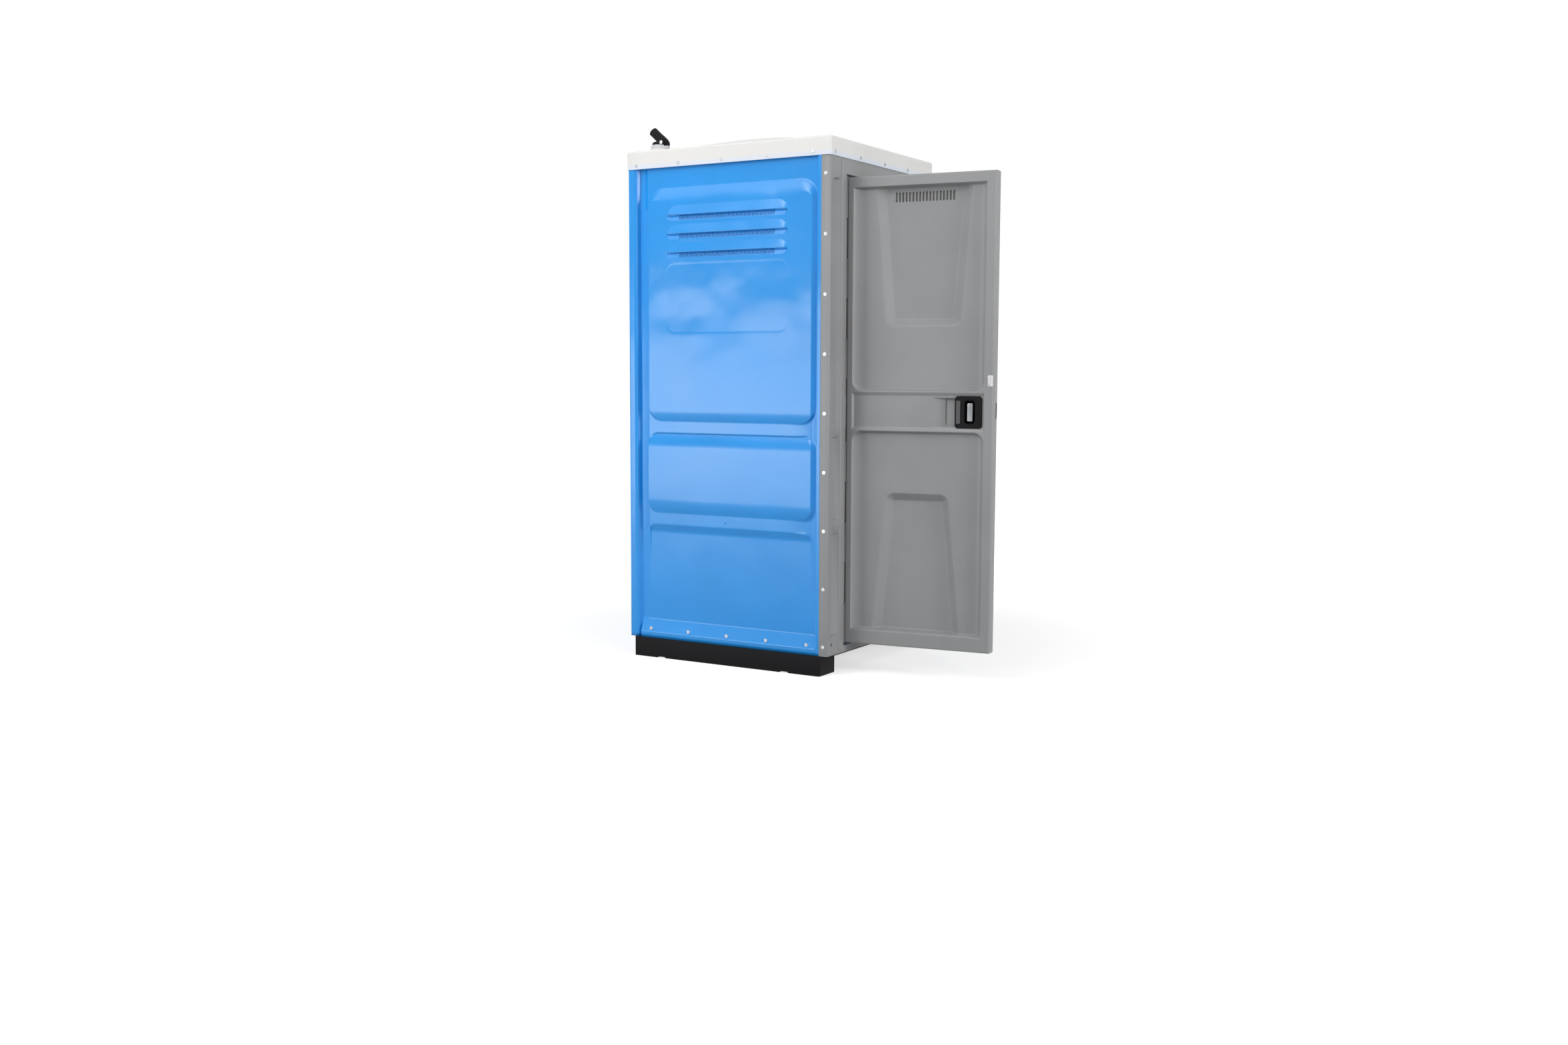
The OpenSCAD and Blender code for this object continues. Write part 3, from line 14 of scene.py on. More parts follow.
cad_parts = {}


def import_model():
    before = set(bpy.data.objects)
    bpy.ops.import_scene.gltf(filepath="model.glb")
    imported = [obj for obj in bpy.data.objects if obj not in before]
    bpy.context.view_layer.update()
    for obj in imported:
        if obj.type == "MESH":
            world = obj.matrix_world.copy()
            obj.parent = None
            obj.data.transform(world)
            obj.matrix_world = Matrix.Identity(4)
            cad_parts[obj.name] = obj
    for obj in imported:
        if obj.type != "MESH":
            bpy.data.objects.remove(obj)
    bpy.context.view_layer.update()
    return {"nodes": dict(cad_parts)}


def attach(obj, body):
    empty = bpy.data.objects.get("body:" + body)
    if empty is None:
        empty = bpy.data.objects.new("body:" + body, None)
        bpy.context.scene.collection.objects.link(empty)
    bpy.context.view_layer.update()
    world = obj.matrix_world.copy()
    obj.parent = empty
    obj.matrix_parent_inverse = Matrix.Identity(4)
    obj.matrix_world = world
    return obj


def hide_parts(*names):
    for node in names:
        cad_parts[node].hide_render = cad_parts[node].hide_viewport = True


LOG = logging.getLogger("shower_cabin")
MM = 0.001
Colour = tuple[float, float, float]
Vec = tuple[float, float, float]


class Body(str, Enum):
    """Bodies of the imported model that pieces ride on."""

    CABIN = "cabin"
    DOOR = "door"
    LATCH = "latch_slide"
    HOT = "hot_tap"
    COLD = "cold_tap"
    INLET = "inlet_swivel"
    SPRAY = "spray_head"


class Slot(str, Enum):
    """Material slots of the record."""

    WALL_BLUE = "wall_blue"
    FRAME_GREY = "frame_grey"
    ROOF_WHITE = "roof_white"
    BLACK_PLASTIC = "black_plastic"
    DARK_PLASTIC = "dark_plastic"
    TRAY_WHITE = "tray_white"
    SLEEVE_GREY = "sleeve_grey"
    KNOB_RED = "knob_red"
    KNOB_BLUE = "knob_blue"
    PLATE_WHITE = "plate_white"
    ZINC = "zinc"
    POLISHED_STEEL = "polished_steel"


class Sock:
    """A shader socket that takes part in Python arithmetic."""

    def __init__(self, net: "Net", socket: bpy.types.NodeSocket) -> None:
        """Wraps a socket.

        Args:
            net: The net that the socket belongs to.
            socket: The output socket.
        """
        self.net = net
        self.socket = socket

    def _math(self, operation: str, *values: object) -> "Sock":
        """Adds a Math node and returns its output."""
        return self.net.node("ShaderNodeMath", {"operation": operation}, *values)

    def __add__(self, other: object) -> "Sock":
        """Sum."""
        return self._math("ADD", self, other)

    def __radd__(self, other: object) -> "Sock":
        """Sum, with the value on the left."""
        return self._math("ADD", other, self)

    def __sub__(self, other: object) -> "Sock":
        """Difference."""
        return self._math("SUBTRACT", self, other)

    def __rsub__(self, other: object) -> "Sock":
        """Difference, with the value on the left."""
        return self._math("SUBTRACT", other, self)

    def __mul__(self, other: object) -> "Sock":
        """Product."""
        return self._math("MULTIPLY", self, other)

    def __rmul__(self, other: object) -> "Sock":
        """Product, with the value on the left."""
        return self._math("MULTIPLY", other, self)

    def clamped(self) -> "Sock":
        """The value held between 0 and 1."""
        return self.net.node("ShaderNodeClamp", {}, self)

    def stepped(self, low: float, high: float) -> "Sock":
        """Makes a smooth step.

        Args:
            low: Value at and under which the step is 0.
            high: Value at and over which the step is 1.

        Returns:
            The step.
        """
        return self.net.node(
            "ShaderNodeMapRange", {"interpolation_type": "SMOOTHSTEP"}, self, low, high, 0.0, 1.0
        )


class Net:
    """The node tree of one material."""

    def __init__(self, name: str) -> None:
        """Starts a material with an empty tree.

        Args:
            name: The material's name.
        """
        self.material = bpy.data.materials.new(name)
        self.material.use_nodes = True
        self.tree = self.material.node_tree
        self.tree.nodes.clear()
        self.place = self.node("ShaderNodeTexCoord", {}, out="Object")

    @classmethod
    def of_world(cls, world: bpy.types.World) -> "Net":
        """The empty net of a world.

        Args:
            world: The world.

        Returns:
            Its net.
        """
        net = cls.__new__(cls)
        net.tree = world.node_tree
        net.tree.nodes.clear()
        return net

    def node(self, kind: str, settings: dict[str, object], *values: object,
             out: str | int = 0, named: dict[str, object] | None = None) -> Sock:
        """Adds any node.

        Args:
            kind: The node's type.
            settings: Attributes that are set before its sockets, or "stops" for a colour ramp.
            *values: Values or links for its first input sockets, in order.
            out: The output socket that is returned.
            named: Values or links for input sockets by name.

        Returns:
            The chosen output, wrapped.
        """
        node = self.tree.nodes.new(kind)
        for key, value in settings.items():
            if key == "stops":
                ramp = node.color_ramp
                while len(ramp.elements) < len(value):
                    ramp.elements.new(0.5)
                for element, (place, colour) in zip(ramp.elements, value):
                    element.position = place
                    element.color = (*colour, 1.0)
            else:
                setattr(node, key, value)
        for index, value in enumerate(values):
            self._feed(node.inputs[index], value)
        for key, value in (named or {}).items():
            self._feed(node.inputs[key], value)
        return Sock(self, node.outputs[out])

    def _feed(self, target: bpy.types.NodeSocket, value: object) -> None:
        """Links a socket to a target, or sets the target's value.

        Args:
            target: The input socket.
            value: A wrapped socket, a colour, a vector or a number.
        """
        if isinstance(value, Sock):
            self.tree.links.new(value.socket, target)
        elif isinstance(value, (tuple, list)) and target.type == "RGBA":
            target.default_value = (*value[:3], 1.0)
        else:
            target.default_value = value

    def noise(self, scale: float, detail: float = 3.0, stretch: Colour = (1, 1, 1)) -> Sock:
        """Noise in object space, from 0 to 1.

        Args:
            scale: Cells per metre.
            detail: Octaves.
            stretch: Scale of the three axes.

        Returns:
            The noise value.
        """
        place = self.place
        if stretch != (1, 1, 1):
            place = self.node("ShaderNodeMapping", {}, named={"Vector": self.place, "Scale": stretch})
        return self.node("ShaderNodeTexNoise", {}, named={
            "Vector": place, "Scale": scale, "Detail": detail})

    def axis(self, name: str) -> Sock:
        """One coordinate of the place on the object, in metres: X, Y or Z."""
        return self.node("ShaderNodeSeparateXYZ", {}, self.place, out=name)

    def mix(self, share: Sock | float, first: object, second: object) -> Sock:
        """Mixes two colours.

        Args:
            share: Share of the second colour.
            first: First colour or link.
            second: Second colour or link.

        Returns:
            The mixed colour.
        """
        node = self.tree.nodes.new("ShaderNodeMix")
        node.data_type = "RGBA"
        for index, value in ((0, share), (6, first), (7, second)):
            self._feed(node.inputs[index], value)
        return Sock(self, node.outputs[2])

    def finish(self, colour: object, roughness: object, metallic: float = 0.0, coat: float = 0.0,
               height: Sock | None = None, bump: float = 0.0, depth: float = 0.0005,
               fixed: dict[str, object] | None = None) -> bpy.types.Material:
        """Joins the surface shader and the output.

        Args:
            colour: Base colour.
            roughness: Roughness.
            metallic: Metallic share.
            coat: Coat weight.
            height: Height that feeds the bump.
            bump: Strength of the bump.
            depth: Height of the bump in metres.
            fixed: Other sockets of the shader, each with one value.

        Returns:
            The finished material.
        """
        named = {"Base Color": colour, "Roughness": roughness, "Metallic": metallic, "Coat Weight": coat}
        named.update(fixed or {})
        if height is not None:
            named["Normal"] = self.node("ShaderNodeBump", {}, named={
                "Strength": bump, "Distance": depth, "Height": height})
        shader = self.node("ShaderNodeBsdfPrincipled", {}, named=named)
        self.node_output(shader)
        return self.material

    def node_output(self, shader: Sock) -> None:
        """Joins a shader to the material's output."""
        output = self.tree.nodes.new("ShaderNodeOutputMaterial")
        self.tree.links.new(shader.socket, output.inputs["Surface"])


@dataclass(frozen=True)
class MouldedPlastic:
    """Moulded plastic with a soft mottle, a fine grain, lighter sharp convex edges and slow waves in its
    face.
    """

    slot: Slot
    colour: Colour
    roughness: float = 0.42
    mottle: float = 0.06
    grain: float = 0.25
    grain_per_m: float = 700.0
    scuffs: float = 0.0
    sharp_edge_lightening: float = 0.12
    coat: float = 0.0
    shine: float = 0.4
    ripple: float = 0.0
    low_tint: tuple[Colour, float, float] | None = None
    clouds_per_m: ClassVar[float] = 3.2
    speckles_per_m: ClassVar[float] = 240.0
    scuffs_per_m: ClassVar[float] = 26.0
    waves_per_m: ClassVar[float] = 3.6
    calm_share: ClassVar[float] = 0.25
    wavy_from: ClassVar[tuple[float, float]] = (1.2, 1.5)
    grain_depth: ClassVar[float] = 0.0004

    def material(self) -> bpy.types.Material:
        """Builds the material.

        Returns:
            The material.
        """
        net = Net(self.slot.value)
        cloud = net.noise(self.clouds_per_m, 4.0)
        speckle = net.noise(self.speckles_per_m, 2.0)
        dark = tuple(c * (1 - self.mottle) for c in self.colour)
        light = tuple(min(1.0, c * (1 + self.mottle)) for c in self.colour)
        tone = net.mix((cloud * 0.7 + speckle * 0.3).stepped(0.3, 0.7), dark, light)
        # Sharp convex edges, found by pointiness, are mixed towards a lighter tone.
        if self.sharp_edge_lightening:
            ridge = net.node("ShaderNodeNewGeometry", {}, out="Pointiness").stepped(0.52, 0.6)
            rubbed = tuple(min(1.0, c * 0.75 + 0.2) for c in self.colour)
            tone = net.mix(ridge * self.sharp_edge_lightening, tone, rubbed)
        if self.low_tint:
            shade, low, high = self.low_tint
            tone = net.mix(net.axis("Z").stepped(low, high), net.mix(0.6, tone, shade), tone)
        rough = self.roughness + (cloud - 0.5) * 0.12 + (speckle - 0.5) * 0.06
        if self.scuffs:
            strokes = net.noise(self.scuffs_per_m, 5.0, (1.0, 1.0, 9.0)).stepped(0.66, 0.76)
            tone = net.mix(strokes * self.scuffs, tone, tuple(min(1.0, c + 0.2) for c in self.colour))
            rough = rough + strokes * 0.15
        fine = net.noise(self.grain_per_m, 2.0) * 0.7 + net.noise(self.grain_per_m * 0.2, 3.0) * 0.3
        if self.ripple:
            wavy = net.axis("Z").stepped(*self.wavy_from) * (1 - self.calm_share) + self.calm_share
            fine = fine + (net.noise(self.waves_per_m, 1.5) - 0.5) * wavy * self.ripple
        return net.finish(tone, rough.clamped(), coat=self.coat, height=fine, bump=self.grain,
                          depth=self.grain_depth, fixed={"Specular IOR Level": self.shine})


@dataclass(frozen=True)
class BareMetal:
    """Plated, polished or brushed metal with faint streaks and handling marks."""

    slot: Slot
    colour: Colour
    roughness: float = 0.22
    streaks: Colour = (1.0, 1.0, 1.0)
    dulling: float = 0.15

    def material(self) -> bpy.types.Material:
        """Builds the material.

        Returns:
            The material.
        """
        net = Net(self.slot.value)
        haze = net.noise(22.0, 4.0)
        lines = net.noise(420.0, 2.0, self.streaks)
        dull = tuple(c * (1 - self.dulling) for c in self.colour)
        tone = net.mix(haze.stepped(0.35, 0.7), self.colour, dull)
        rough = self.roughness + (haze - 0.5) * 0.12 + (lines - 0.5) * 0.1
        return net.finish(tone, rough.clamped(), metallic=1.0, height=lines, bump=0.08, depth=0.0002)


@dataclass(frozen=True)
class CoatedPlate:
    """Painted sheet metal with a faint orange peel and darker rubbed spots."""

    slot: Slot
    colour: Colour
    roughness: float = 0.35

    def material(self) -> bpy.types.Material:
        """Builds the material.

        Returns:
            The material.
        """
        net = Net(self.slot.value)
        spots = net.noise(90.0, 4.0)
        tone = net.mix(spots.stepped(0.45, 0.75), self.colour, tuple(c * 0.85 for c in self.colour))
        return net.finish(tone, (self.roughness + (spots - 0.5) * 0.2).clamped(), coat=0.2,
                          height=net.noise(900.0, 2.0), bump=0.12, depth=0.0002)


Grid = np.ndarray


def soft_line(value: Grid, places: Sequence[float], depths: Sequence[float], radius: float) -> Grid:
    """A piecewise straight profile with rounded corners.

    Args:
        value: Where the profile is read.
        places: Places of its corners, rising.
        depths: Depth at each corner.
        radius: Half the width over which a corner is rounded.

    Returns:
        The profile's depth at each value.
    """
    offsets = np.linspace(-radius, radius, 9)
    return np.mean([np.interp(value + o, places, depths) for o in offsets], axis=0)


def outside_of(u: Grid, z: Grid, box: tuple[float, float, float, float], radius: float) -> Grid:
    """Distance out of a rectangle with round corners, negative inside it.

    Args:
        u: First coordinate.
        z: Second coordinate.
        box: Low and high of the first coordinate, then of the second.
        radius: Corner radius.

    Returns:
        The signed distance.
    """
    across = np.abs(u - (box[0] + box[1]) / 2) - (box[1] - box[0]) / 2 + radius
    along = np.abs(z - (box[2] + box[3]) / 2) - (box[3] - box[2]) / 2 + radius
    return np.minimum(np.maximum(across, along), 0) + np.hypot(
        np.maximum(across, 0), np.maximum(along, 0)) - radius


CLOSEST_LINES = 0.35


def grid_lines(low: float, high: float, coarse: float,
               fine: Iterable[tuple[float, float, float]]) -> Grid:
    """Places of grid lines, closer where the surface has detail.

    Args:
        low: First line.
        high: Last line.
        coarse: Spacing elsewhere.
        fine: Stretches with their own spacing: low, high and step.

    Returns:
        The rising places.
    """
    stretches = sorted((max(low, a), min(high, b), s) for a, b, s in fine if b > low and a < high)
    places = [low, high]
    for start, end, step in stretches:
        places += list(np.linspace(start, end, max(2, int(round((end - start) / step)) + 1)))
    count = max(2, int((high - low) / coarse) + 1)
    for place in np.linspace(low, high, count):
        if all(place < a - 1 or place > b + 1 for a, b, _ in stretches):
            places.append(place)
    result = [low]
    for place in sorted(places):
        if place - result[-1] > CLOSEST_LINES:
            result.append(place)
    result[-1] = high
    return np.array(result)


def new_piece(name: str, points: Sequence, faces: Sequence, smooth: bool = True) -> bpy.types.Object:
    """Makes an object from points in millimetres and faces.

    Args:
        name: The object's name.
        points: Points in millimetres.
        faces: Faces as point numbers.
        smooth: Whether its faces are shaded smooth.

    Returns:
        The object, linked to the scene.
    """
    mesh = bpy.data.meshes.new(name)
    mesh.from_pydata((np.asarray(points, float) * MM).tolist(), [], [tuple(f) for f in faces])
    mesh.validate()
    if smooth:
        mesh.shade_smooth()
    else:
        mesh.shade_flat()
    piece = bpy.data.objects.new(name, mesh)
    bpy.context.scene.collection.objects.link(piece)
    return piece


def outward(piece: bpy.types.Object) -> bpy.types.Object:
    """Turns a closed piece's faces outward.

    Args:
        piece: The piece.

    Returns:
        The same piece.
    """
    shape = bmesh.new()
    shape.from_mesh(piece.data)
    bmesh.ops.remove_doubles(shape, verts=shape.verts, dist=1e-6)
    bmesh.ops.recalc_face_normals(shape, faces=shape.faces)
    shape.to_mesh(piece.data)
    shape.free()
    return piece


@dataclass
class ReliefSlab:
    """A moulded slab: a detailed outer face, its side faces and a flat inner face."""

    name: str
    us: Grid
    zs: Grid
    depth: Callable[[Grid, Grid], Grid]
    place: Callable[[Grid, Grid, Grid], Grid]
    back: float | None = None
    windows: tuple[tuple[float, float, float, float], ...] = ()
    inner: bool = True

    def build(self) -> bpy.types.Object:
        """Builds the slab.

        Returns:
            The object.
        """
        u, z = np.meshgrid(self.us, self.zs, indexing="ij")
        front = self.place(u, z, self.depth(u, z)).reshape(-1, 3)
        rows, columns = len(self.us), len(self.zs)
        mid_u = (self.us[1:] + self.us[:-1])[:, None] / 2
        mid_z = (self.zs[1:] + self.zs[:-1])[None, :] / 2
        open_cell = np.zeros((rows - 1, columns - 1), bool)
        for u0, u1, z0, z1 in self.windows:
            open_cell |= (mid_u > u0) & (mid_u < u1) & (mid_z > z0) & (mid_z < z1)
        numbers = np.arange(rows * columns).reshape(rows, columns)
        i, j = np.nonzero(~open_cell)
        quads = np.stack([numbers[i, j], numbers[i + 1, j], numbers[i + 1, j + 1], numbers[i, j + 1]], 1)
        faces = quads.tolist()
        points = front.tolist()
        if self.back is not None:
            rim = ([(a, 0) for a in range(rows)] + [(rows - 1, b) for b in range(1, columns)]
                   + [(a, columns - 1) for a in range(rows - 2, -1, -1)]
                   + [(0, b) for b in range(columns - 2, 0, -1)])
            start = len(points)
            for a, b in rim:
                points.append(self.place(self.us[a], self.zs[b], np.float64(self.back)).tolist())
            for k in range(len(rim)):
                n = (k + 1) % len(rim)
                faces.append([numbers[rim[n]], numbers[rim[k]], start + k, start + n])
            if self.inner:
                self._inner_face(points, faces)
        piece = new_piece(self.name, points, faces)
        return outward(piece)

    def _inner_face(self, points: list, faces: list) -> None:
        """Adds the flat inner face, with its windows left open.

        Args:
            points: The slab's points, which grow.
            faces: The slab's faces, which grow.
        """
        us = sorted({self.us[0], self.us[-1], *(w[0] for w in self.windows), *(w[1] for w in self.windows)})
        zs = sorted({self.zs[0], self.zs[-1], *(w[2] for w in self.windows), *(w[3] for w in self.windows)})
        for a, b in zip(us, us[1:]):
            for c, d in zip(zs, zs[1:]):
                if any(w[0] < (a + b) / 2 < w[1] and w[2] < (c + d) / 2 < w[3] for w in self.windows):
                    continue
                start = len(points)
                for u, z in ((a, c), (a, d), (b, d), (b, c)):
                    points.append(self.place(np.float64(u), np.float64(z), np.float64(self.back)).tolist())
                faces.append([start, start + 1, start + 2, start + 3])


def comb_strip(name: str, slab: ReliefSlab, window: tuple[float, float, float, float],
               slots: Sequence[tuple[float, float]], rise: tuple[float, float]) -> bpy.types.Object:
    """The slotted strip that fills a window of a slab.

    Args:
        name: The piece's name.
        slab: The slab that the strip belongs to.
        window: The window's low and high along the slab, then up it.
        slots: Low and high of each slot along the slab.
        rise: Low and high of the slots up the slab.

    Returns:
        The strip.
    """
    cuts = sorted({window[0], window[1], *(p for s in slots for p in s)})
    us = np.array(cuts)
    zs = np.unique(np.concatenate([np.linspace(window[2], window[3], 9), rise]))
    u, z = np.meshgrid(us, zs, indexing="ij")
    front = slab.place(u, z, slab.depth(u, z)).reshape(-1, 3)
    back = slab.place(u, z, np.full_like(u, slab.back)).reshape(-1, 3)
    numbers = np.arange(len(us) * len(zs)).reshape(len(us), len(zs))
    shift = numbers.size
    faces = []
    slot_mids = {round((a + b) / 2, 3) for a, b in slots}

    def is_open(a: int, b: int) -> bool:
        """Tells whether a cell is a slot.

        Args:
            a: The cell's column.
            b: The cell's row.

        Returns:
            True for a slot, false for a bar or past the strip's edge.
        """
        if not (0 <= a < len(us) - 1 and 0 <= b < len(zs) - 1):
            return False
        middle = (zs[b] + zs[b + 1]) / 2
        return round((us[a] + us[a + 1]) / 2, 3) in slot_mids and rise[0] < middle < rise[1]

    for a in range(len(us) - 1):
        for b in range(len(zs) - 1):
            corners = [numbers[a, b], numbers[a + 1, b], numbers[a + 1, b + 1], numbers[a, b + 1]]
            if not is_open(a, b):
                faces.append(corners)
                faces.append([c + shift for c in reversed(corners)])
                continue
            sides = ((a - 1, b, 3, 0), (a + 1, b, 1, 2), (a, b - 1, 0, 1), (a, b + 1, 2, 3))
            for na, nb, p, q in sides:
                if not is_open(na, nb):
                    faces.append([corners[p], corners[q], corners[q] + shift, corners[p] + shift])
    piece = new_piece(name, np.vstack([front, back]), faces, smooth=False)
    return outward(piece)


@dataclass(frozen=True)
class Dressing:
    """How a CAD node is dressed: its body, finish and the width of its rounded edges in millimetres.

    Edges sharper than the angle, in degrees, are rounded.
    """

    node: str
    body: Body
    slot: Slot
    radius: float
    segments: int = 2
    angle: float = 28.0


@dataclass
class Workshop:
    """What every sub-assembly uses: the frame, the finishes and the record of what was built."""

    nodes: dict[str, bpy.types.Object]
    finishes: dict[Slot, bpy.types.Material]
    bare: set[str] = field(init=False)

    def __post_init__(self) -> None:
        """Notes that no node is dressed yet."""
        self.bare = set(self.nodes)

    def keep(self, slot: Slot, *names: str) -> None:
        """Keeps CAD nodes as they are and gives them a finish.

        Args:
            slot: The record's material slot.
            *names: The nodes.
        """
        for name in names:
            node = self.nodes[name]
            for place in node.material_slots:
                place.link = "OBJECT"
                place.material = self.finishes[slot]
            if not node.material_slots:
                node.data.materials.append(self.finishes[slot])
            self.bare.discard(name)
            LOG.info("%s: kept, finished in %s", name, slot.value)

    def add(self, piece: bpy.types.Object, body: Body, slot: Slot, *stands_for: str) -> bpy.types.Object:
        """Registers a new piece.

        Args:
            piece: The piece.
            body: The body that it rides on.
            slot: Its material slot.
            *stands_for: CAD nodes that it replaces.

        Returns:
            The piece.
        """
        piece.data.materials.clear()
        piece.data.materials.append(self.finishes[slot])
        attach(piece, body.value)
        if stands_for:
            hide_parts(*stands_for)
            self.bare -= set(stands_for)
        LOG.info("%s: %d faces, rides on %s", piece.name, len(piece.data.polygons), body.value)
        return piece

    def softened(self, dressing: Dressing) -> bpy.types.Object:
        """Makes a copy of a CAD node with its edges rounded, which replaces it.

        Args:
            dressing: The node and how it is dressed.

        Returns:
            The piece.
        """
        shape = bmesh.new()
        shape.from_mesh(self.nodes[dressing.node].data)
        bmesh.ops.remove_doubles(shape, verts=shape.verts, dist=2e-6)
        bmesh.ops.dissolve_limit(shape, angle_limit=math.radians(0.6), verts=shape.verts, edges=shape.edges)
        mesh = bpy.data.meshes.new(f"{dressing.node}_dressed")
        shape.to_mesh(mesh)
        shape.free()
        mesh.shade_smooth()
        piece = bpy.data.objects.new(mesh.name, mesh)
        bpy.context.scene.collection.objects.link(piece)
        bevel = piece.modifiers.new("rounding", "BEVEL")
        bevel.width = dressing.radius * MM
        bevel.segments = dressing.segments
        bevel.limit_method = "ANGLE"
        bevel.angle_limit = math.radians(dressing.angle)
        bevel.use_clamp_overlap = True
        bevel.harden_normals = True
        bpy.context.view_layer.update()
        piece.data = bpy.data.meshes.new_from_object(
            piece.evaluated_get(bpy.context.evaluated_depsgraph_get()))
        piece.modifiers.clear()
        return self.add(piece, dressing.body, dressing.slot, dressing.node)


@dataclass(frozen=True)
class PanelSize:
    """Heights of the ends of a wall's panel and the radius of its corners, in millimetres."""

    low: float
    high: float
    radius: float


@dataclass
class MouldedWall:
    """A side or rear wall: proud panels, rails, flutes, louvres and a sloped sill, in millimetres."""

    name: str
    u0: float
    u1: float
    panel0: float
    panel1: float
    place: Callable[[Grid, Grid, Grid], Grid]
    louvres: bool
    rear_strip: bool
    sill_screws: tuple[float, ...]
    foot_z: float = 84.0
    top_z: float = 2190.0
    thickness: float = 30.0
    rail: float = 10.0
    flute: float = 14.0
    upper: PanelSize = PanelSize(1041.0, 2038.0, 78.0)
    middle: PanelSize = PanelSize(642.0, 988.0, 52.0)
    lower: PanelSize = PanelSize(120.0, 588.5, 34.0)
    rim_top: float = 74.0
    rim_side: float = 8.0
    rim_front: float = 20.0
    header_z: float = 1950.0
    header_blend: float = 14.0
    sill_low: float = 110.0
    sill_high: float = 167.0
    sill_depth: float = 22.0
    strip_depth: float = 2.0
    screw_z: float = 124.5
    dish_radius: float = 9.0
    dish_depth: float = 8.5
    rear_round: float = 10.0
    sink: float = 6.0
    sink_run: float = 122.0
    louvre_z: tuple[float, ...] = (1908.0, 1829.0, 1750.0)
    louvre_mid: float = -3.5
    louvre_half: float = 300.0
    hood: float = 6.5
    hood_rise: float = 44.0
    hood_end: float = 46.0
    lip: float = 12.4
    fold: float = 12.2
    comb_half: float = 12.0
    comb_depth: float = 6.5
    comb_end: float = 30.0
    slits_each_side: int = 36
    slit_pitch: float = 6.6
    slit_width: float = 2.8
    slit_gap: float = 0.62
    label: tuple[float, float, float, float] = (302.0, 1420.0, 1715.0, 40.0)
    label_depth: float = 0.55
    pit: tuple[float, float] = (3.0, 611.0)
    pit_depth: float = 6.0

    def edge(self, u: Grid) -> Grid:
        """Depth outside the panels: flutes, strips and the rounded rear corner.

        Args:
            u: Place along the wall.

        Returns:
            The depth.
        """
        if self.rear_strip:
            deep = self.rail + self.sink
            profile = ((self.u0, 0), (self.u0 + 16, 0), (self.u0 + 19, 12), (self.panel0 - 1, deep),
                       (self.panel1 - 1, deep), (self.panel1 + 2, 22), (self.u1 - 72, 24),
                       (self.u1 - 55, 25), (self.u1 - 43, 5), (self.u1 - 36, 3), (self.u1 - 32, 0),
                       (self.u1, 0))
            depth = soft_line(u, *zip(*profile), 1.5)
            bend = np.clip((self.panel0 + self.sink_run - u) / self.sink_run, 0, 1)
            flat = np.clip((u - self.panel0) / 4, 0, 1) * np.clip((self.panel1 + 1 - u) / 3, 0, 1)
            depth = depth - self.sink * (1 - bend * bend) * flat
            turn = np.clip(u - (self.u1 - self.rear_round), 0, self.rear_round)
            return depth + self.rear_round - np.sqrt(np.maximum(0, self.rear_round ** 2 - turn ** 2))
        places = (self.u0, self.u0 + 2.5, self.u0 + 15, self.panel0 - 4, self.panel0,
                  self.panel1, self.panel1 + 4, self.u1 - 15, self.u1 - 2.5, self.u1)
        depths = (0, 0, self.flute, self.flute, self.rail, self.rail, self.flute, self.flute, 0, 0)
        return soft_line(u, places, depths, 1.2)

    def panels(self, u: Grid, z: Grid, depth: Grid) -> Grid:
        """Lays in the three panels.

        Args:
            u: Place along the wall.
            z: Height.
            depth: Depth outside the panels.

        Returns:
            The depth with the panels.
        """
        a, b = self.panel0, self.panel1
        top, mid, low = self.upper, self.middle, self.lower
        upper = self.crest(u, z) + self.roll(z, top.low + 51, top.low)
        middle = self.roll(z, mid.low + 60, mid.low) + 1.75 * self.roll(z, mid.high - 73, mid.high)
        lower = soft_line(z, (self.sill_high, low.high - 28.5, low.high),
                          (self.sill_depth, self.sill_depth, self.rail), 7)
        flare = np.interp(z, (self.sill_high, low.high), (1, 0))
        shapes = (
            (outside_of(u, z, (a - 18, b, top.low, top.high), top.radius), upper, 7.0, 7.0),
            (outside_of(u, z, (a - 9, b, mid.low, mid.high), mid.radius), middle, 7.0, 20.0),
            (outside_of(u, z, (a + 14 - 24 * flare - 9, b - 3 + 20 * flare, low.low, low.high),
                        low.radius), lower, 9.0, 20.0),
        )
        front = np.clip((a + 60 - u) / 60, 0, 1)
        for out, inside, width, wide in shapes:
            share = np.clip(0.5 - out / (width + (wide - width) * front), 0, 1)
            share = share + (share * share * (3 - 2 * share) - share) * (1 - 0.7 * front)
            depth = depth * (1 - share) + inside * share
        return depth

    def crest(self, u: Grid, z: Grid) -> Grid:
        """The upper panel's rim, which rolls away widely at its top and tightly at its sides.

        Args:
            u: Place along the wall.
            z: Height.

        Returns:
            The rim's depth.
        """
        radius, low = self.upper.radius, self.panel0 - 18
        across = np.maximum(np.abs(u - (low + self.panel1) / 2) - (self.panel1 - low) / 2 + radius, 0)
        along = np.maximum(z - self.upper.high + radius, 0)
        far = np.hypot(across, along) + 1e-6
        upward = (along / far) ** 2
        side = np.interp(u, (low + 40, low + 80), (self.rim_front, self.rim_side))
        share = np.clip(1 - (radius - far) / (side + (self.rim_top - side) * upward), 0, 1)
        return self.flute * share ** (1 + upward)

    def roll(self, z: Grid, start: float, end: float) -> Grid:
        """A surface that rolls away from depth 0 at one height to the rails' depth at another."""
        share = np.clip((z - start) / (end - start), 0, 1)
        return self.rail * share * share

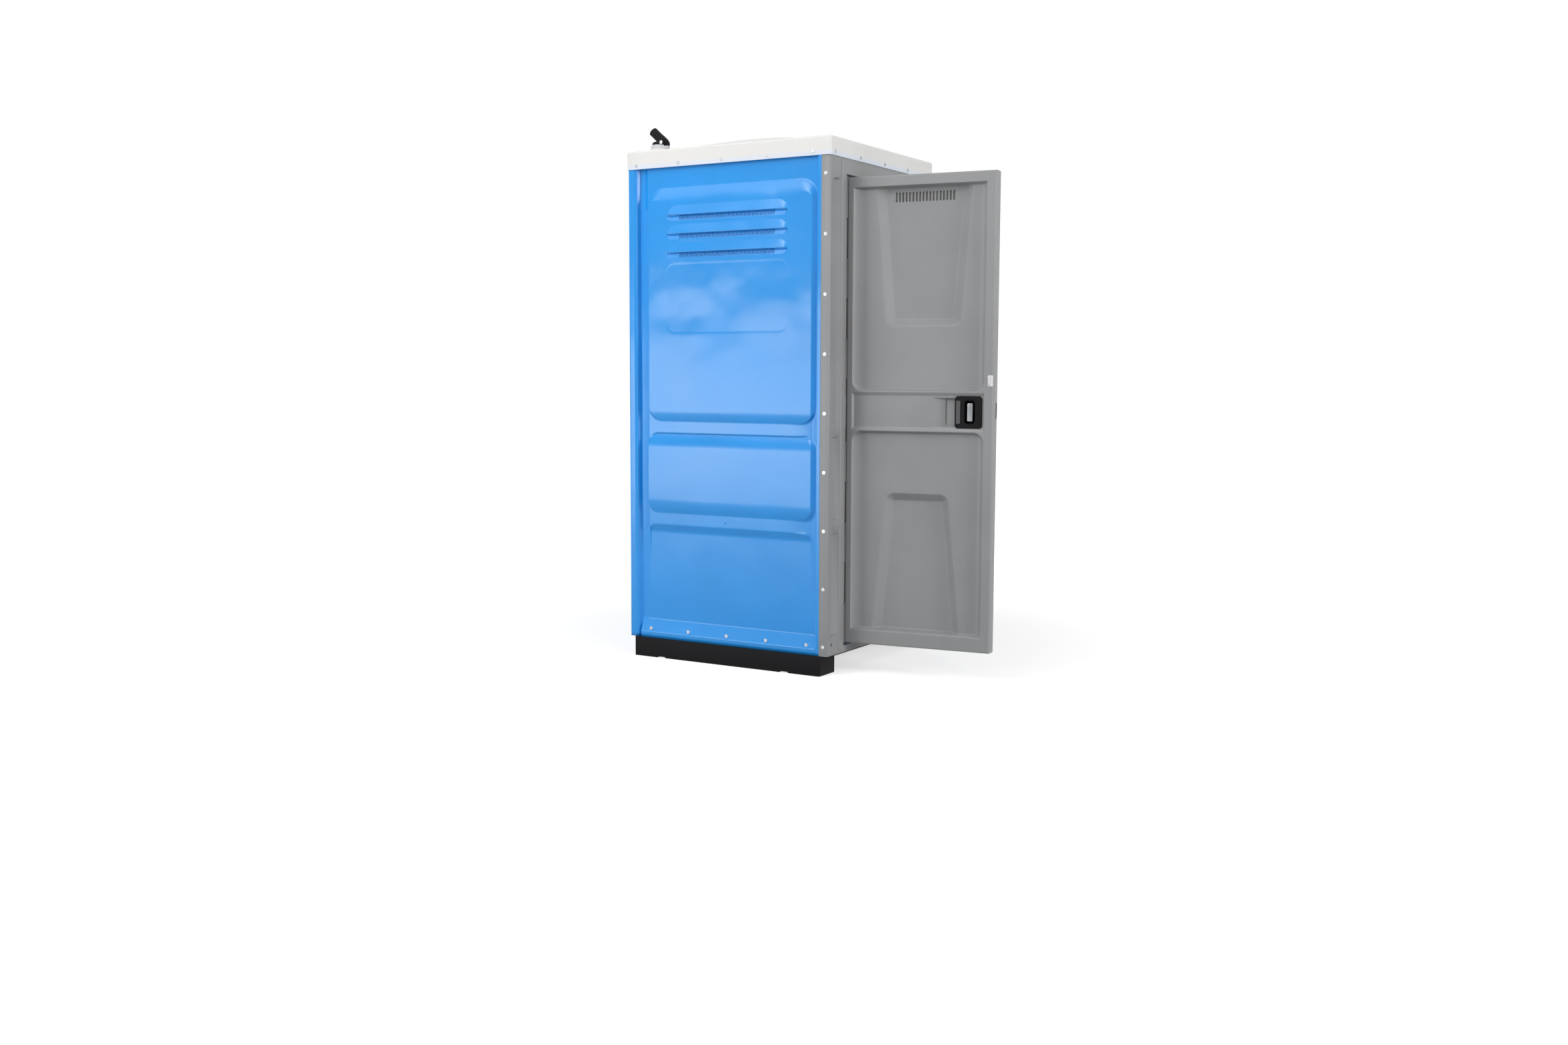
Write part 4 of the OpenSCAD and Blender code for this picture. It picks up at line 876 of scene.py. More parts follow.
    def foot(self, u: Grid, z: Grid, depth: Grid) -> Grid:
        """Lays in the sloped sill, the plain strip under it and the dishes of its screws.

        Args:
            u: Place along the wall.
            z: Height.
            depth: Depth without them.

        Returns:
            The depth with them.
        """
        slope = soft_line(z, (self.foot_z, self.sill_low, self.sill_high),
                          (self.strip_depth, self.strip_depth, self.sill_depth), 4)
        inside = np.minimum(u - (self.u0 + 14), (self.u1 - (52 if self.rear_strip else 14)) - u)
        share = np.clip(inside / 6, 0, 1)
        low = (1 - np.clip((z - self.sill_high + 3) / 6, 0, 1)) * share
        depth = depth * (1 - low) + slope * low
        strip = (1 - np.clip((z - self.sill_low + 4) / 8, 0, 1)) * share
        depth = depth * (1 - strip) + self.strip_depth * strip
        for screw in self.sill_screws:
            away = np.hypot(u - screw, z - self.screw_z)
            dish = np.clip(1 - (away - self.dish_radius) / 7, 0, 1)
            dish = dish * dish * (3 - 2 * dish)
            depth = np.maximum(depth, depth * (1 - dish) + self.dish_depth * dish)
        return depth

    def depth(self, u: Grid, z: Grid) -> Grid:
        """Depth of the outer face under its most proud plane.

        Args:
            u: Place along the wall.
            z: Height.

        Returns:
            The depth.
        """
        blend = self.header_blend
        header = np.clip((z - self.header_z) / blend, 0, 1) * np.clip((u - self.panel0 + 22) / blend, 0, 1)
        header = header * np.clip((self.panel1 + 18 - u) / blend, 0, 1)
        depth = self.edge(u) * (1 - header) + self.flute * header
        depth = self.foot(u, z, self.panels(u, z, depth))
        if not self.louvres:
            return depth
        from_end = self.louvre_half - np.abs(u - self.louvre_mid)
        for middle in self.louvre_z:
            depth = depth + self.louvre(from_end, z - middle)
        half, low, high, radius = self.label
        out = outside_of(u, z, (self.louvre_mid - half, self.louvre_mid + half, low, high), radius)
        recess = np.clip(0.5 - out / 7, 0, 1)
        depth = depth + self.label_depth * recess * recess * (3 - 2 * recess)
        pit = np.clip(1 - (np.hypot(u - self.pit[0], z - self.pit[1]) - 1.5) / 1.2, 0, 1)
        return depth + self.pit_depth * pit

    def louvre(self, from_end: Grid, rise: Grid) -> Grid:
        """Depth that one louvre adds: a hood that swells out to a sharp lip, over a tilted comb of slits.

        Args:
            from_end: Distance from the louvre's nearer end.
            rise: Height over the middle of its slits.

        Returns:
            The added depth, negative on the hood.
        """
        turn = np.clip(1 - from_end / self.hood_end, 0, 1)
        reach = self.hood_rise * np.sqrt(np.maximum(1 - turn * turn, 0)) + 0.01
        ends = np.clip(from_end / 12, 0, 1)
        swell = np.clip((self.lip + reach - rise) / reach, 0, 1) * ends
        crease = np.clip((self.lip + reach - rise) / 3, 0, 1) * ends
        hood = np.where(rise > self.fold, 0.8 * crease - (self.hood + 0.8) * swell, 0)
        blunt = np.clip(1 - from_end / self.comb_end, 0, 1)
        low = self.comb_half - 2 * self.comb_half * np.sqrt(np.maximum(1 - blunt * blunt, 0))
        plane = (rise + self.comb_half) * self.comb_depth / (2 * self.comb_half)
        cap = np.minimum((rise - low) * 1.4, from_end * 1.4)
        comb = np.where(rise <= self.fold, np.clip(np.minimum(plane, cap), 0, self.comb_depth), 0)
        return hood + comb

    def lines(self) -> tuple[Grid, Grid]:
        """Grid lines along and up the wall.

        Returns:
            The places along the wall and the heights.
        """
        a, b = self.panel0, self.panel1
        top, mid, low = self.upper, self.middle, self.lower
        along = [(self.u0, self.u0 + 22, 1.3), (a - 6, a + 6, 1.3), (b - 6, b + 12, 1.3),
                 (a + 6, a + 84, 5), (b - 84, b - 6, 5)]
        along.append((self.u1 - 76, self.u1, 1.6) if self.rear_strip else (self.u1 - 18, self.u1, 1.3))
        along.append((self.u0 + 18, a - 6, 2.6))
        along += [(s - 17, s + 17, 2.2) for s in self.sill_screws]
        up = [(self.sill_low - 4, self.sill_low + 4, 1.5), (self.sill_low + 4, self.sill_low + 32, 2.2),
              (self.sill_high - 7, self.sill_high + 7, 1.5), (low.high - 48.5, low.high + 13.5, 2.5),
              (mid.low - 12, mid.low + 58, 3), (mid.high - 58, mid.high + 12, 3),
              (top.low - 41, top.low + 44, 3), (top.low + 44, top.low + 84, 5),
              (top.high - 83, top.high + 24, 2.6)]
        if self.louvres:
            first, last = self.louvre_mid - self.louvre_half, self.louvre_mid + self.louvre_half
            across, height = self.pit
            along += [(first - 3, first + 48, 2.0), (last - 48, last + 3, 2.0), (across - 3, across + 3, 1)]
            up += [(self.label[1] - 5, self.label[1] + 44, 4), (self.label[2] - 43, self.label[2] + 5, 4),
                   (height - 4, height + 4, 1)]
            for middle in self.louvre_z:
                up += [(middle - 14, middle + 11.9, 1.85), (middle + 12.5, middle + 60, 3.4)]
        return grid_lines(self.u0, self.u1, 14, along), grid_lines(self.foot_z, self.top_z, 16, up)

    def slots(self) -> list[tuple[float, float]]:
        """Places the slits, in two groups with a small gap between them.

        Returns:
            Low and high of each slit along the wall.
        """
        middles = [self.louvre_mid + side * (i + self.slit_gap) * self.slit_pitch
                   for side in (-1, 1) for i in range(self.slits_each_side)]
        return [(m - self.slit_width / 2, m + self.slit_width / 2) for m in middles]

    def build(self, shop: Workshop) -> None:
        """Builds the wall, which stands for the CAD node of its name, and its slotted strips.

        Args:
            shop: The workshop.
        """
        us, zs = self.lines()
        windows = ()
        if self.louvres:
            half = (self.slits_each_side + 0.6) * self.slit_pitch
            low = us[np.searchsorted(us, self.louvre_mid - half) - 1]
            high = us[np.searchsorted(us, self.louvre_mid + half)]
            windows = tuple(
                (low, high, zs[np.searchsorted(zs, m - 10.5)], zs[np.searchsorted(zs, m + 11.95) - 1])
                for m in self.louvre_z)
        slab = ReliefSlab(f"{self.name}_skin", us, zs, self.depth, self.place, self.thickness, windows)
        shop.add(slab.build(), Body.CABIN, Slot.WALL_BLUE, self.name)
        for index, window in enumerate(windows):
            rise = (window[2] + 1.2, window[3] - 0.5)
            strip = comb_strip(f"{self.name}_slits_{index}", slab, window, self.slots(), rise)
            shop.add(strip, Body.CABIN, Slot.WALL_BLUE)


@dataclass
class Shell:
    """The three walls."""

    half_width: float = 470.0
    front_y: float = -462.5
    rear_y: float = 502.5
    inner_x: float = 440.0
    side_panels: tuple[float, float] = (-420.0, 403.0)
    rear_panels: tuple[float, float] = (-390.0, 390.0)
    screw_pitch: float = 198.0
    screw_shift: float = -22.0

    def left(self, u: Grid, z: Grid, d: Grid) -> Grid:
        """Where a point of the left wall lies."""
        return np.stack(np.broadcast_arrays(-self.half_width + d, u, z), -1)

    def right(self, u: Grid, z: Grid, d: Grid) -> Grid:
        """Where a point of the right wall lies."""
        return np.stack(np.broadcast_arrays(self.half_width - d, u, z), -1)

    def rear(self, u: Grid, z: Grid, d: Grid) -> Grid:
        """Where a point of the rear wall lies."""
        return np.stack(np.broadcast_arrays(u, self.rear_y - d, z), -1)

    def build(self, shop: Workshop) -> None:
        """Builds the walls.

        Args:
            shop: The workshop.
        """
        steps = [(i - 2) * self.screw_pitch for i in range(5)]
        middle = (self.front_y + self.rear_y) / 2 + self.screw_shift
        screws = tuple(middle + step for step in steps)
        for name, place in (("left_wall", self.left), ("right_wall", self.right)):
            MouldedWall(name, self.front_y, self.rear_y, *self.side_panels, place,
                        louvres=True, rear_strip=True, sill_screws=screws).build(shop)
        MouldedWall("rear_wall", -self.inner_x, self.inner_x, *self.rear_panels, self.rear,
                    louvres=False, rear_strip=False, sill_screws=tuple(steps)).build(shop)


@dataclass
class Roof:
    """The roof: a shallow crown on a flat rim, a skirt with rounded edges and a pad for the inlet."""

    half_x: float = 474.5
    half_y: float = 507.0
    corner: float = 14.5
    skirt_z: float = 2123.0
    rim_z: float = 2200.0
    rise: float = 70.0
    flat: float = 30.0
    wall: float = 4.0
    edge: float = 7.0
    under_rim: float = 9.5
    skirt_rings: tuple[float, ...] = (3.0, 9.0, 27.0, 47.0, 63.0)
    rim_rings: tuple[float, ...] = (10, 14, 20, 26, 29)
    crown_rings: tuple[float, ...] = (30.5, 33, 37, 43, 51, 61, 73, 87, 104, 124, 148, 176, 208, 244,
                                      284, 328, 376, 424, 458, 470)
    arc_points: int = 7
    side_spans: int = 28
    pad: tuple[float, float, float, float] = (-414.0, 369.0, 42.5, 2207.0)
    pad_bore: float = 12.0

    def ring(self, inset: float) -> list[tuple[float, float]]:
        """Draws a rounded outline.

        Args:
            inset: Distance in from the roof's edge.

        Returns:
            The outline's points.
        """
        hx, hy = self.half_x - inset, self.half_y - inset
        radius = max(self.corner - inset, min(14.0, inset * 0.25), 0.4)
        radius = min(radius, hx * 0.9, hy * 0.9)
        arcs = []
        for cx, cy, start in ((hx - radius, hy - radius, 0), (-hx + radius, hy - radius, 90),
                              (-hx + radius, -hy + radius, 180), (hx - radius, -hy + radius, 270)):
            turns = [math.radians(start + 90 * k / (self.arc_points - 1)) for k in range(self.arc_points)]
            arcs.append([(cx + radius * math.cos(turn), cy + radius * math.sin(turn)) for turn in turns])
        outline = []
        for arc, after in zip(arcs, arcs[1:] + arcs[:1]):
            outline += arc
            (x0, y0), (x1, y1) = arc[-1], after[0]
            for n in range(1, self.side_spans):
                t = n / self.side_spans
                outline.append((x0 * (1 - t) + x1 * t, y0 * (1 - t) + y1 * t))
        return outline

    def crown(self, x: float, y: float) -> float:
        """Gives the height of the crown over the rim.

        Args:
            x: Place across the roof.
            y: Place along the roof.

        Returns:
            The height.
        """
        fx = min(1.0, abs(x) / (self.half_x - self.flat))
        fy = min(1.0, abs(y) / (self.half_y - self.flat))
        return self.rise * (1 - fx * fx) * (1 - fy * fy)

    def build(self, shop: Workshop) -> None:
        """Builds the roof.

        Args:
            shop: The workshop.
        """
        rings: list[list[tuple[float, float, float]]] = []

        def lay(inset: float, height: float | None, drop: float = 0.0) -> None:
            """Adds a ring.

            Args:
                inset: Distance in from the roof's edge.
                height: Its height, or none for a ring on the crown.
                drop: Distance under the crown.
            """
            rings.append([(x, y, self.rim_z + self.crown(x, y) - drop if height is None else height)
                          for x, y in self.ring(inset)])

        lay(self.wall - 0.6, self.skirt_z)
        lay(0.7, self.skirt_z)
        lay(0.0, self.skirt_z + 0.9)
        for height in self.skirt_rings:
            lay(0.0, self.skirt_z + height)
        for k in range(7):
            angle = math.radians(15 * k)
            lay(self.edge * (1 - math.cos(angle)), self.rim_z - self.edge * (1 - math.sin(angle)))
        for inset in self.rim_rings:
            lay(inset, self.rim_z)
        for inset in self.crown_rings:
            lay(inset, None)
        for inset in reversed(self.crown_rings):
            lay(inset, None, self.wall)
        lay(self.flat - 6, self.rim_z - self.under_rim)
        lay(self.wall, self.rim_z - self.under_rim)
        lay(self.wall, self.skirt_z + 1)
        count = len(rings[0])
        points = [p for ring in rings for p in ring]
        faces = []
        for r in range(len(rings)):
            n = (r + 1) % len(rings)
            for k in range(count):
                m = (k + 1) % count
                faces.append((r * count + k, r * count + m, n * count + m, n * count + k))
        piece = outward(new_piece("roof_moulding", points, faces))
        shop.add(piece, Body.CABIN, Slot.ROOF_WHITE, "roof")
        shop.add(self.pad_piece(), Body.CABIN, Slot.ROOF_WHITE)

    def pad_piece(self) -> bpy.types.Object:
        """Builds the raised pad under the inlet, with a fillet into the crown.

        Returns:
            The pad.
        """
        x, y, radius, top = self.pad
        bore, low = self.pad_bore, top - 11
        profile = [(radius + 9, low), (radius + 6, low + 3.5), (radius + 2.5, low + 6.5),
                   (radius + 0.8, low + 9), (radius - 0.4, top - 0.5), (radius - 1.6, top),
                   (bore + 1, top), (bore, top - 1), (bore, low)]
        return turned("inlet_pad", profile, Vector((x, y, 0)), 64)


def turned(name: str, profile: Sequence[tuple[float, float]], centre: Vector,
           steps: int) -> bpy.types.Object:
    """Turns a closed profile round an upright axis.

    Args:
        name: The piece's name.
        profile: Radius and height of each corner, in millimetres.
        centre: Where the axis stands.
        steps: Points round the axis.

    Returns:
        The piece.
    """
    points, faces = [], []
    for k in range(steps):
        angle = math.tau * k / steps
        for radius, height in profile:
            points.append((centre.x + radius * math.cos(angle), centre.y + radius * math.sin(angle),
                           centre.z + height))
    count = len(profile)
    for k in range(steps):
        m = (k + 1) % steps
        for j in range(count):
            n = (j + 1) % count
            faces.append((k * count + j, m * count + j, m * count + n, k * count + n))
    return outward(new_piece(name, points, faces))


@dataclass(frozen=True)
class DomedBar:
    """A long low bar with a round back and round ends, set into a face, in millimetres."""

    name: str
    across: tuple[float, float]
    along: tuple[float, float]
    rise: float
    end: float
    sunk: float = 0.8

    def depth(self, u: Grid, z: Grid) -> Grid:
        """Gives the depth of the bar's back.

        Args:
            u: Place across the bar.
            z: Place along the bar.

        Returns:
            The depth, negative over the face.
        """
        middle, half = sum(self.across) / 2, (self.across[1] - self.across[0]) / 2
        dome = np.sqrt(np.clip(1 - ((u - middle) / half) ** 2, 0, 1))
        tip = 1 - np.clip(np.minimum(z - self.along[0], self.along[1] - z) / self.end, 0, 1)
        return -self.rise * dome * np.sqrt(np.clip(1 - tip ** 2, 0, 1)) + 0.0 * u

    def build(self, place: Callable[[Grid, Grid, Grid], Grid]) -> bpy.types.Object:
        """Builds the bar.

        Args:
            place: Where a point of the face lies.

        Returns:
            The bar.
        """
        turn = np.linspace(0, math.pi, 17)
        us = sum(self.across) / 2 - (self.across[1] - self.across[0]) / 2 * np.cos(turn)
        tips = self.end * (1 - np.cos(np.linspace(0, math.pi / 2, 7)))
        zs = np.concatenate([self.along[0] + tips, self.along[1] - tips[::-1]])
        return ReliefSlab(self.name, us, zs, self.depth, place, self.sunk).build()


@dataclass(frozen=True)
class Taper:
    """A tapered recess: its corners, anticlockwise, and the slope width of the side that starts at each."""

    corners: tuple[tuple[float, float], ...]
    widths: tuple[float, ...]

    def share(self, u: Grid, z: Grid) -> Grid:
        """Tells how far a place is inside the recess, round at the corners.

        Args:
            u: Place along the door.
            z: Height.

        Returns:
            The share, from 0 outside or on the outline to 1 past the slopes.
        """
        rest = np.zeros(np.broadcast(u, z).shape)
        for a, b, width in zip(self.corners, self.corners[1:] + self.corners[:1], self.widths):
            along = np.array([b[0] - a[0], b[1] - a[1]])
            along = along / np.hypot(*along)
            away = -along[1] * (u - a[0]) + along[0] * (z - a[1])
            rest = rest + np.maximum(1 - away / width, 0) ** 2
        return np.clip(1 - np.sqrt(rest), 0, 1)


@dataclass
class DoorLeaf:
    """The moulded door: a bar all round, two panels with tapered recesses, vents and a latch pocket."""

    x0: float = -307.5
    x1: float = 320.5
    z0: float = 125.0
    z1: float = 2047.5
    face_y: float = -502.5
    shell_depth: float = 52.0
    axis: tuple[float, float] = (-318.0, -493.5)
    opened: float = -83.4
    panel: tuple[float, float, float, float] = (-282.0, 283.0, 185.0, 2006.0)
    rail: tuple[float, float] = (1016.4, 1178.6)
    rail_depth: float = 8.0
    rail_land: float = 3.0
    rail_slope: float = 15.0
    panel_depth: float = 20.0
    panel_corner: float = 44.0
    slope: float = 46.0
    free_slope_share: float = 0.65
    flank: float = 11.0
    upper_taper: Taper = Taper(((-145.5, 1440), (179.5, 1440), (223.5, 2005), (-192.5, 2005)),
                               (32, 46, 9, 42))
    lower_taper: Taper = Taper(((-194, 187), (189.5, 187), (133.7, 763), (-138, 763)),
                               (10, 38, 34, 40))
    taper_depth: float = 24.0
    round_edge: float = 6.0
    latch: tuple[float, float] = (217.5, 1097.0)
    latch_half: tuple[float, float] = (49.0, 56.0)
    pit_depth: float = 42.0
    pocket_reach: float = 156.0
    pocket_slope: float = 58.0
    pocket_depth: float = 14.0
    step_reach: float = 101.0
    step_depth: float = 5.0
    # Place and shape of a thin strip laid on the black latch bezel's sloped finger notch; its lighter grey is
    # painted sheen of that slope.
    ramp_across: tuple[float, float] = (-50.5, -34.0)
    ramp_half: float = 46.0
    ramp_rise: float = 0.7
    ramp_end: float = 3.0
    vents: tuple[float, float, int, float] = (10.5, 14.4, 18, 1963.0)
    vent_half: float = 15.0
    vent_radius: float = 4.4
    vent_depth: float = 10.0

    def place(self, u: Grid, z: Grid, d: Grid) -> Grid:
        """Places a point of the door, which stands open.

        Args:
            u: Place along the shut door.
            z: Height.
            d: Depth under the door's face.

        Returns:
            The place in the frame.
        """
        turn = math.radians(self.opened)
        x, y = u - self.axis[0], self.face_y + d - self.axis[1]
        return np.stack(np.broadcast_arrays(
            self.axis[0] + x * math.cos(turn) - y * math.sin(turn),
            self.axis[1] + x * math.sin(turn) + y * math.cos(turn), z), -1)

    @staticmethod
    def eased(share: Grid) -> Grid:
        """A share with its two ends rounded a little."""
        shifts = (-0.06, -0.03, 0, 0.03, 0.06)
        return np.mean([np.clip(share * 1.12 - 0.06 + shift, 0, 1) for shift in shifts], axis=0)

    def depth(self, u: Grid, z: Grid) -> Grid:
        """Depth of the door's face under its bars.

        Args:
            u: Place along the door, hinge side first.
            z: Height.

        Returns:
            The depth.
        """
        depth = self.panels(u, z)
        depth = depth + self.taper_depth * (self.eased(self.upper_taper.share(u, z))
                                            + self.eased(self.lower_taper.share(u, z)))
        mid, pitch, count, height = self.vents
        for k in range(count):
            away = np.hypot(u - (mid + (k - (count - 1) / 2) * pitch),
                            np.maximum(np.abs(z - height) - self.vent_half, 0))
            depth = depth + self.vent_depth * np.clip((self.vent_radius - away) / 0.9, 0, 1)
        depth = self.latch_place(u, z, depth)
        reach = self.round_edge
        edge = np.minimum(np.minimum(u - self.x0, self.x1 - u), np.minimum(z - self.z0, self.z1 - z))
        turn = np.clip(reach - edge, 0, reach)
        return depth + reach - np.sqrt(np.maximum(reach ** 2 - turn ** 2, 0))

    def panels(self, u: Grid, z: Grid) -> Grid:
        """Depth of the two panels and of the rail between them.

        Args:
            u: Place along the door.
            z: Height.

        Returns:
            The depth.
        """
        a, b, low, high = self.panel
        free_slope = self.free_slope_share * self.slope
        rest = 1 - np.clip(np.minimum((u - a) / self.slope, (b - u) / free_slope), 0, 1)
        cove = self.panel_depth * (0.5 * (1 - rest ** 2) + 0.5 * np.sqrt(1 - rest ** 2))
        rail_low, rail_high = self.rail
        inside = np.minimum(z - rail_low - self.rail_land, rail_high - self.rail_land - z) / self.rail_slope
        depth = np.minimum(cove, self.eased(np.clip(inside, 0, 1)) * self.rail_depth)
        past = 2 * self.panel_corner
        for bottom, top, far_bottom, far_top in ((rail_high, high, rail_high, high + past),
                                                 (low, rail_low, low - past, rail_low)):
            out = outside_of(u, z, (a, b, far_bottom, far_top), self.panel_corner)
            inside = np.minimum(-out, np.minimum(z - bottom, top - z)) / self.flank
            panel = np.minimum(cove, self.eased(np.clip(inside, 0, 1)) * self.panel_depth)
            depth = np.maximum(depth, panel)
        return depth

    def latch_place(self, u: Grid, z: Grid, depth: Grid) -> Grid:
        """Lays in the hand pocket, the step beside the latch and the pit that holds it.

        Args:
            u: Place along the door.
            z: Height.
            depth: Depth without them.

        Returns:
            The depth with them.
        """
        lx, lz = self.latch
        half_x, half_z = self.latch_half
        inward = (u - (lx - self.pocket_reach)) / self.pocket_slope
        pocket = np.minimum(np.minimum(inward, (lz + half_z + 2 - z) / 10), (z - (lz - half_z - 4)) / 3)
        pocket = np.where(u < lx - half_x - 5, np.clip(pocket, 0, 1), 0)
        step = outside_of(u, z, (lx - self.step_reach, lx - 30, lz - half_z - 0.5, lz + half_z + 0.5), 12)
        step = np.clip(-step / 3, 0, 1)
        depth = depth + self.pocket_depth * self.eased(pocket) + self.step_depth * self.eased(step)
        out = outside_of(u, z, (lx - half_x, lx + half_x, lz - half_z, lz + half_z), 9)
        pit = np.clip(0.5 - out / 1.2, 0, 1)
        return depth * (1 - pit) + self.pit_depth * pit

    def build(self, shop: Workshop) -> None:
        """Builds the door's outer shell.

        Args:
            shop: The workshop.
        """
        lx, lz = self.latch
        along, up = self.lines()
        slab = ReliefSlab("door_moulding", along, up, self.depth, self.place, self.shell_depth,
                          inner=False)
        shop.add(slab.build(), Body.DOOR, Slot.FRAME_GREY, "door_shell")
        plane = self.front_of(shop.nodes["latch_bezel"])
        # The strip sits on the bezel's face in dark_plastic, a grey lighter than the black bezel. The notch
        # is real; the strip's grey is painted sheen of the notch's slope.
        ramp = DomedBar("latch_notch_painted_sheen", (lx + self.ramp_across[0], lx + self.ramp_across[1]),
                        (lz - self.ramp_half, lz + self.ramp_half), self.ramp_rise, self.ramp_end)
        shop.add(ramp.build(lambda u, z, d: self.place(u, z, d + plane)), Body.DOOR, Slot.DARK_PLASTIC)

    def lines(self) -> tuple[Grid, Grid]:
        """Grid lines along and up the door.

        Returns:
            The places along the door and the heights.
        """
        a, b, low, high = self.panel
        lx, lz = self.latch
        rail_low, rail_high = self.rail
        vent = self.vents[0]
        taper_a, taper_b = self.lower_taper.corners[0][0], self.upper_taper.corners[2][0]
        taper_top, taper_foot = self.lower_taper.corners[2][1], self.upper_taper.corners[0][1]
        along = [(self.x0, self.x0 + 7, 0.9), (self.x1 - 7, self.x1, 0.9), (a - 2, a + 12, 1.2),
                 (a + 12, a + 50, 3.4), (b - 12, b + 2, 1.2), (b - 50, b - 12, 3.4),
                 (taper_a - 6, taper_a + 104, 3.6), (taper_b - 83.5, taper_b + 2.5, 3.6),
                 (vent - 132.5, vent + 131.5, 0.95), (lx - 160, lx - 104, 4), (lx - 103, lx - 90, 1.1),
                 (lx - 58, lx - 44, 1.1), (lx + 44, lx + 56, 1.1)]
        up = [(self.z0, self.z0 + 7, 0.9), (self.z1 - 7, self.z1, 0.9), (low - 2, low + 50, 2.6),
              (high - 66, high + 2, 1.5), (taper_top - 58, taper_top + 7, 3),
              (taper_foot - 8, taper_foot + 40, 3), (rail_low - 48.4, rail_low - 14.4, 3),
              (rail_low - 14.4, rail_low + 23.6, 1.4), (rail_high - 22.6, rail_high + 13.4, 1.4),
              (rail_high + 13.4, rail_high + 47.4, 3), (lz - 64, lz - 52, 1.1), (lz + 44, lz + 60, 1.2)]
        return grid_lines(self.x0, self.x1, 14, along), grid_lines(self.z0, self.z1, 16, up)

    def front_of(self, node: bpy.types.Object) -> float:
        """Depth of a node's outermost point under the door's face.

        Args:
            node: A CAD node of the door.

        Returns:
            The depth, in millimetres.
        """
        turn = math.radians(-self.opened)
        axis = Vector((*self.axis, 0.0)) * MM
        depths = [((v.co.x - axis.x) * math.sin(turn) + (v.co.y - axis.y) * math.cos(turn) + axis.y) / MM
                  for v in node.data.vertices]
        return min(depths) - self.face_y


@dataclass(frozen=True)
class SubAssembly:
    """CAD nodes that are dressed together, some with rounded edges and some as they are."""

    rounded: tuple[Dressing, ...] = ()
    kept: tuple[tuple[Slot, tuple[str, ...]], ...] = ()

    def build(self, shop: Workshop) -> None:
        """Dresses the nodes.

        Args:
            shop: The workshop.
        """
        for dressing in self.rounded:
            shop.softened(dressing)
        for slot, names in self.kept:
            shop.keep(slot, *names)


@dataclass(frozen=True)
class Base(SubAssembly):
    """Skids, deck, tray, drain and the plugs over the ground anchors."""

    rounded: tuple[Dressing, ...] = (
        Dressing("left_skid", Body.CABIN, Slot.BLACK_PLASTIC, 5.0, 3),
        Dressing("right_skid", Body.CABIN, Slot.BLACK_PLASTIC, 5.0, 3),
        Dressing("base_deck", Body.CABIN, Slot.BLACK_PLASTIC, 1.5),
    )
    kept: tuple[tuple[Slot, tuple[str, ...]], ...] = (
        (Slot.TRAY_WHITE, ("shower_tray",)),
        (Slot.POLISHED_STEEL, ("drain_grate",)),
        (Slot.DARK_PLASTIC, ("drain_trap", "anchor_plugs")),
    )


@dataclass(frozen=True)
class FrontFrame(SubAssembly):
    """The frame round the doorway, with a low rib on the stile that the door hangs on, in millimetres."""

    rounded: tuple[Dressing, ...] = (Dressing("front_frame", Body.CABIN, Slot.FRAME_GREY, 3.0, 3),)
    rib_across: tuple[float, float] = (93.0, 121.0)
    rib_along: tuple[float, float] = (96.0, 2118.0)
    rib_rise: float = 5.0
    rib_end: float = 14.0

    def build(self, shop: Workshop) -> None:
        """Dresses the frame and lays the rib on its face.

        Args:
            shop: The workshop.
        """
        super().build(shop)
        points = [v.co for v in shop.nodes["front_frame"].data.vertices]
        corner, face = min(p.x for p in points) / MM, min(p.y for p in points) / MM
        across = (corner + self.rib_across[0], corner + self.rib_across[1])
        rib = DomedBar("stile_ridge", across, self.rib_along, self.rib_rise, self.rib_end)
        shop.add(rib.build(lambda u, z, d: np.stack(np.broadcast_arrays(u, face + d, z), -1)),
                 Body.CABIN, Slot.FRAME_GREY)


@dataclass(frozen=True)
class DoorHinge(SubAssembly):
    """Knuckles on the frame and the door, with the rod, its caps and the sleeve between them."""

    rounded: tuple[Dressing, ...] = (
        Dressing("frame_knuckles", Body.CABIN, Slot.FRAME_GREY, 0.9),
        Dressing("door_knuckles", Body.DOOR, Slot.FRAME_GREY, 0.9),
    )
    kept: tuple[tuple[Slot, tuple[str, ...]], ...] = (
        (Slot.ZINC, ("hinge_rod",)),
        (Slot.DARK_PLASTIC, ("rod_caps",)),
        (Slot.SLEEVE_GREY, ("hinge_sleeve",)),
    )


@dataclass(frozen=True)
class DoorFittings(SubAssembly):
    """The door's inner skin, its edge plate and strike plate, and the latch."""

    rounded: tuple[Dressing, ...] = (
        Dressing("door_inner_skin", Body.DOOR, Slot.FRAME_GREY, 2.0),
        Dressing("edge_plate", Body.DOOR, Slot.PLATE_WHITE, 0.5),
        Dressing("latch_bezel", Body.DOOR, Slot.BLACK_PLASTIC, 1.6, 3),
        Dressing("latch_grip", Body.LATCH, Slot.POLISHED_STEEL, 1.5, 3),
        Dressing("inner_latch_cover", Body.DOOR, Slot.BLACK_PLASTIC, 0.8),
        Dressing("inner_latch_knob", Body.LATCH, Slot.BLACK_PLASTIC, 2.5, 3),
    )
    kept: tuple[tuple[Slot, tuple[str, ...]], ...] = (
        (Slot.ZINC, ("edge_plate_screws", "strike_plate")),
        (Slot.BLACK_PLASTIC, ("latch_bolt",)),
    )


@dataclass(frozen=True)
class RoofInlet(SubAssembly):
    """The tilting water inlet on the roof."""

    rounded: tuple[Dressing, ...] = (
        Dressing("inlet_base", Body.CABIN, Slot.SLEEVE_GREY, 2.0, 3, 20.0),
        Dressing("inlet_foot", Body.CABIN, Slot.BLACK_PLASTIC, 1.5, 3, 20.0),
        Dressing("inlet_tube", Body.INLET, Slot.BLACK_PLASTIC, 0.8),
        Dressing("inlet_pivot_pin", Body.CABIN, Slot.ZINC, 0.8),
    )


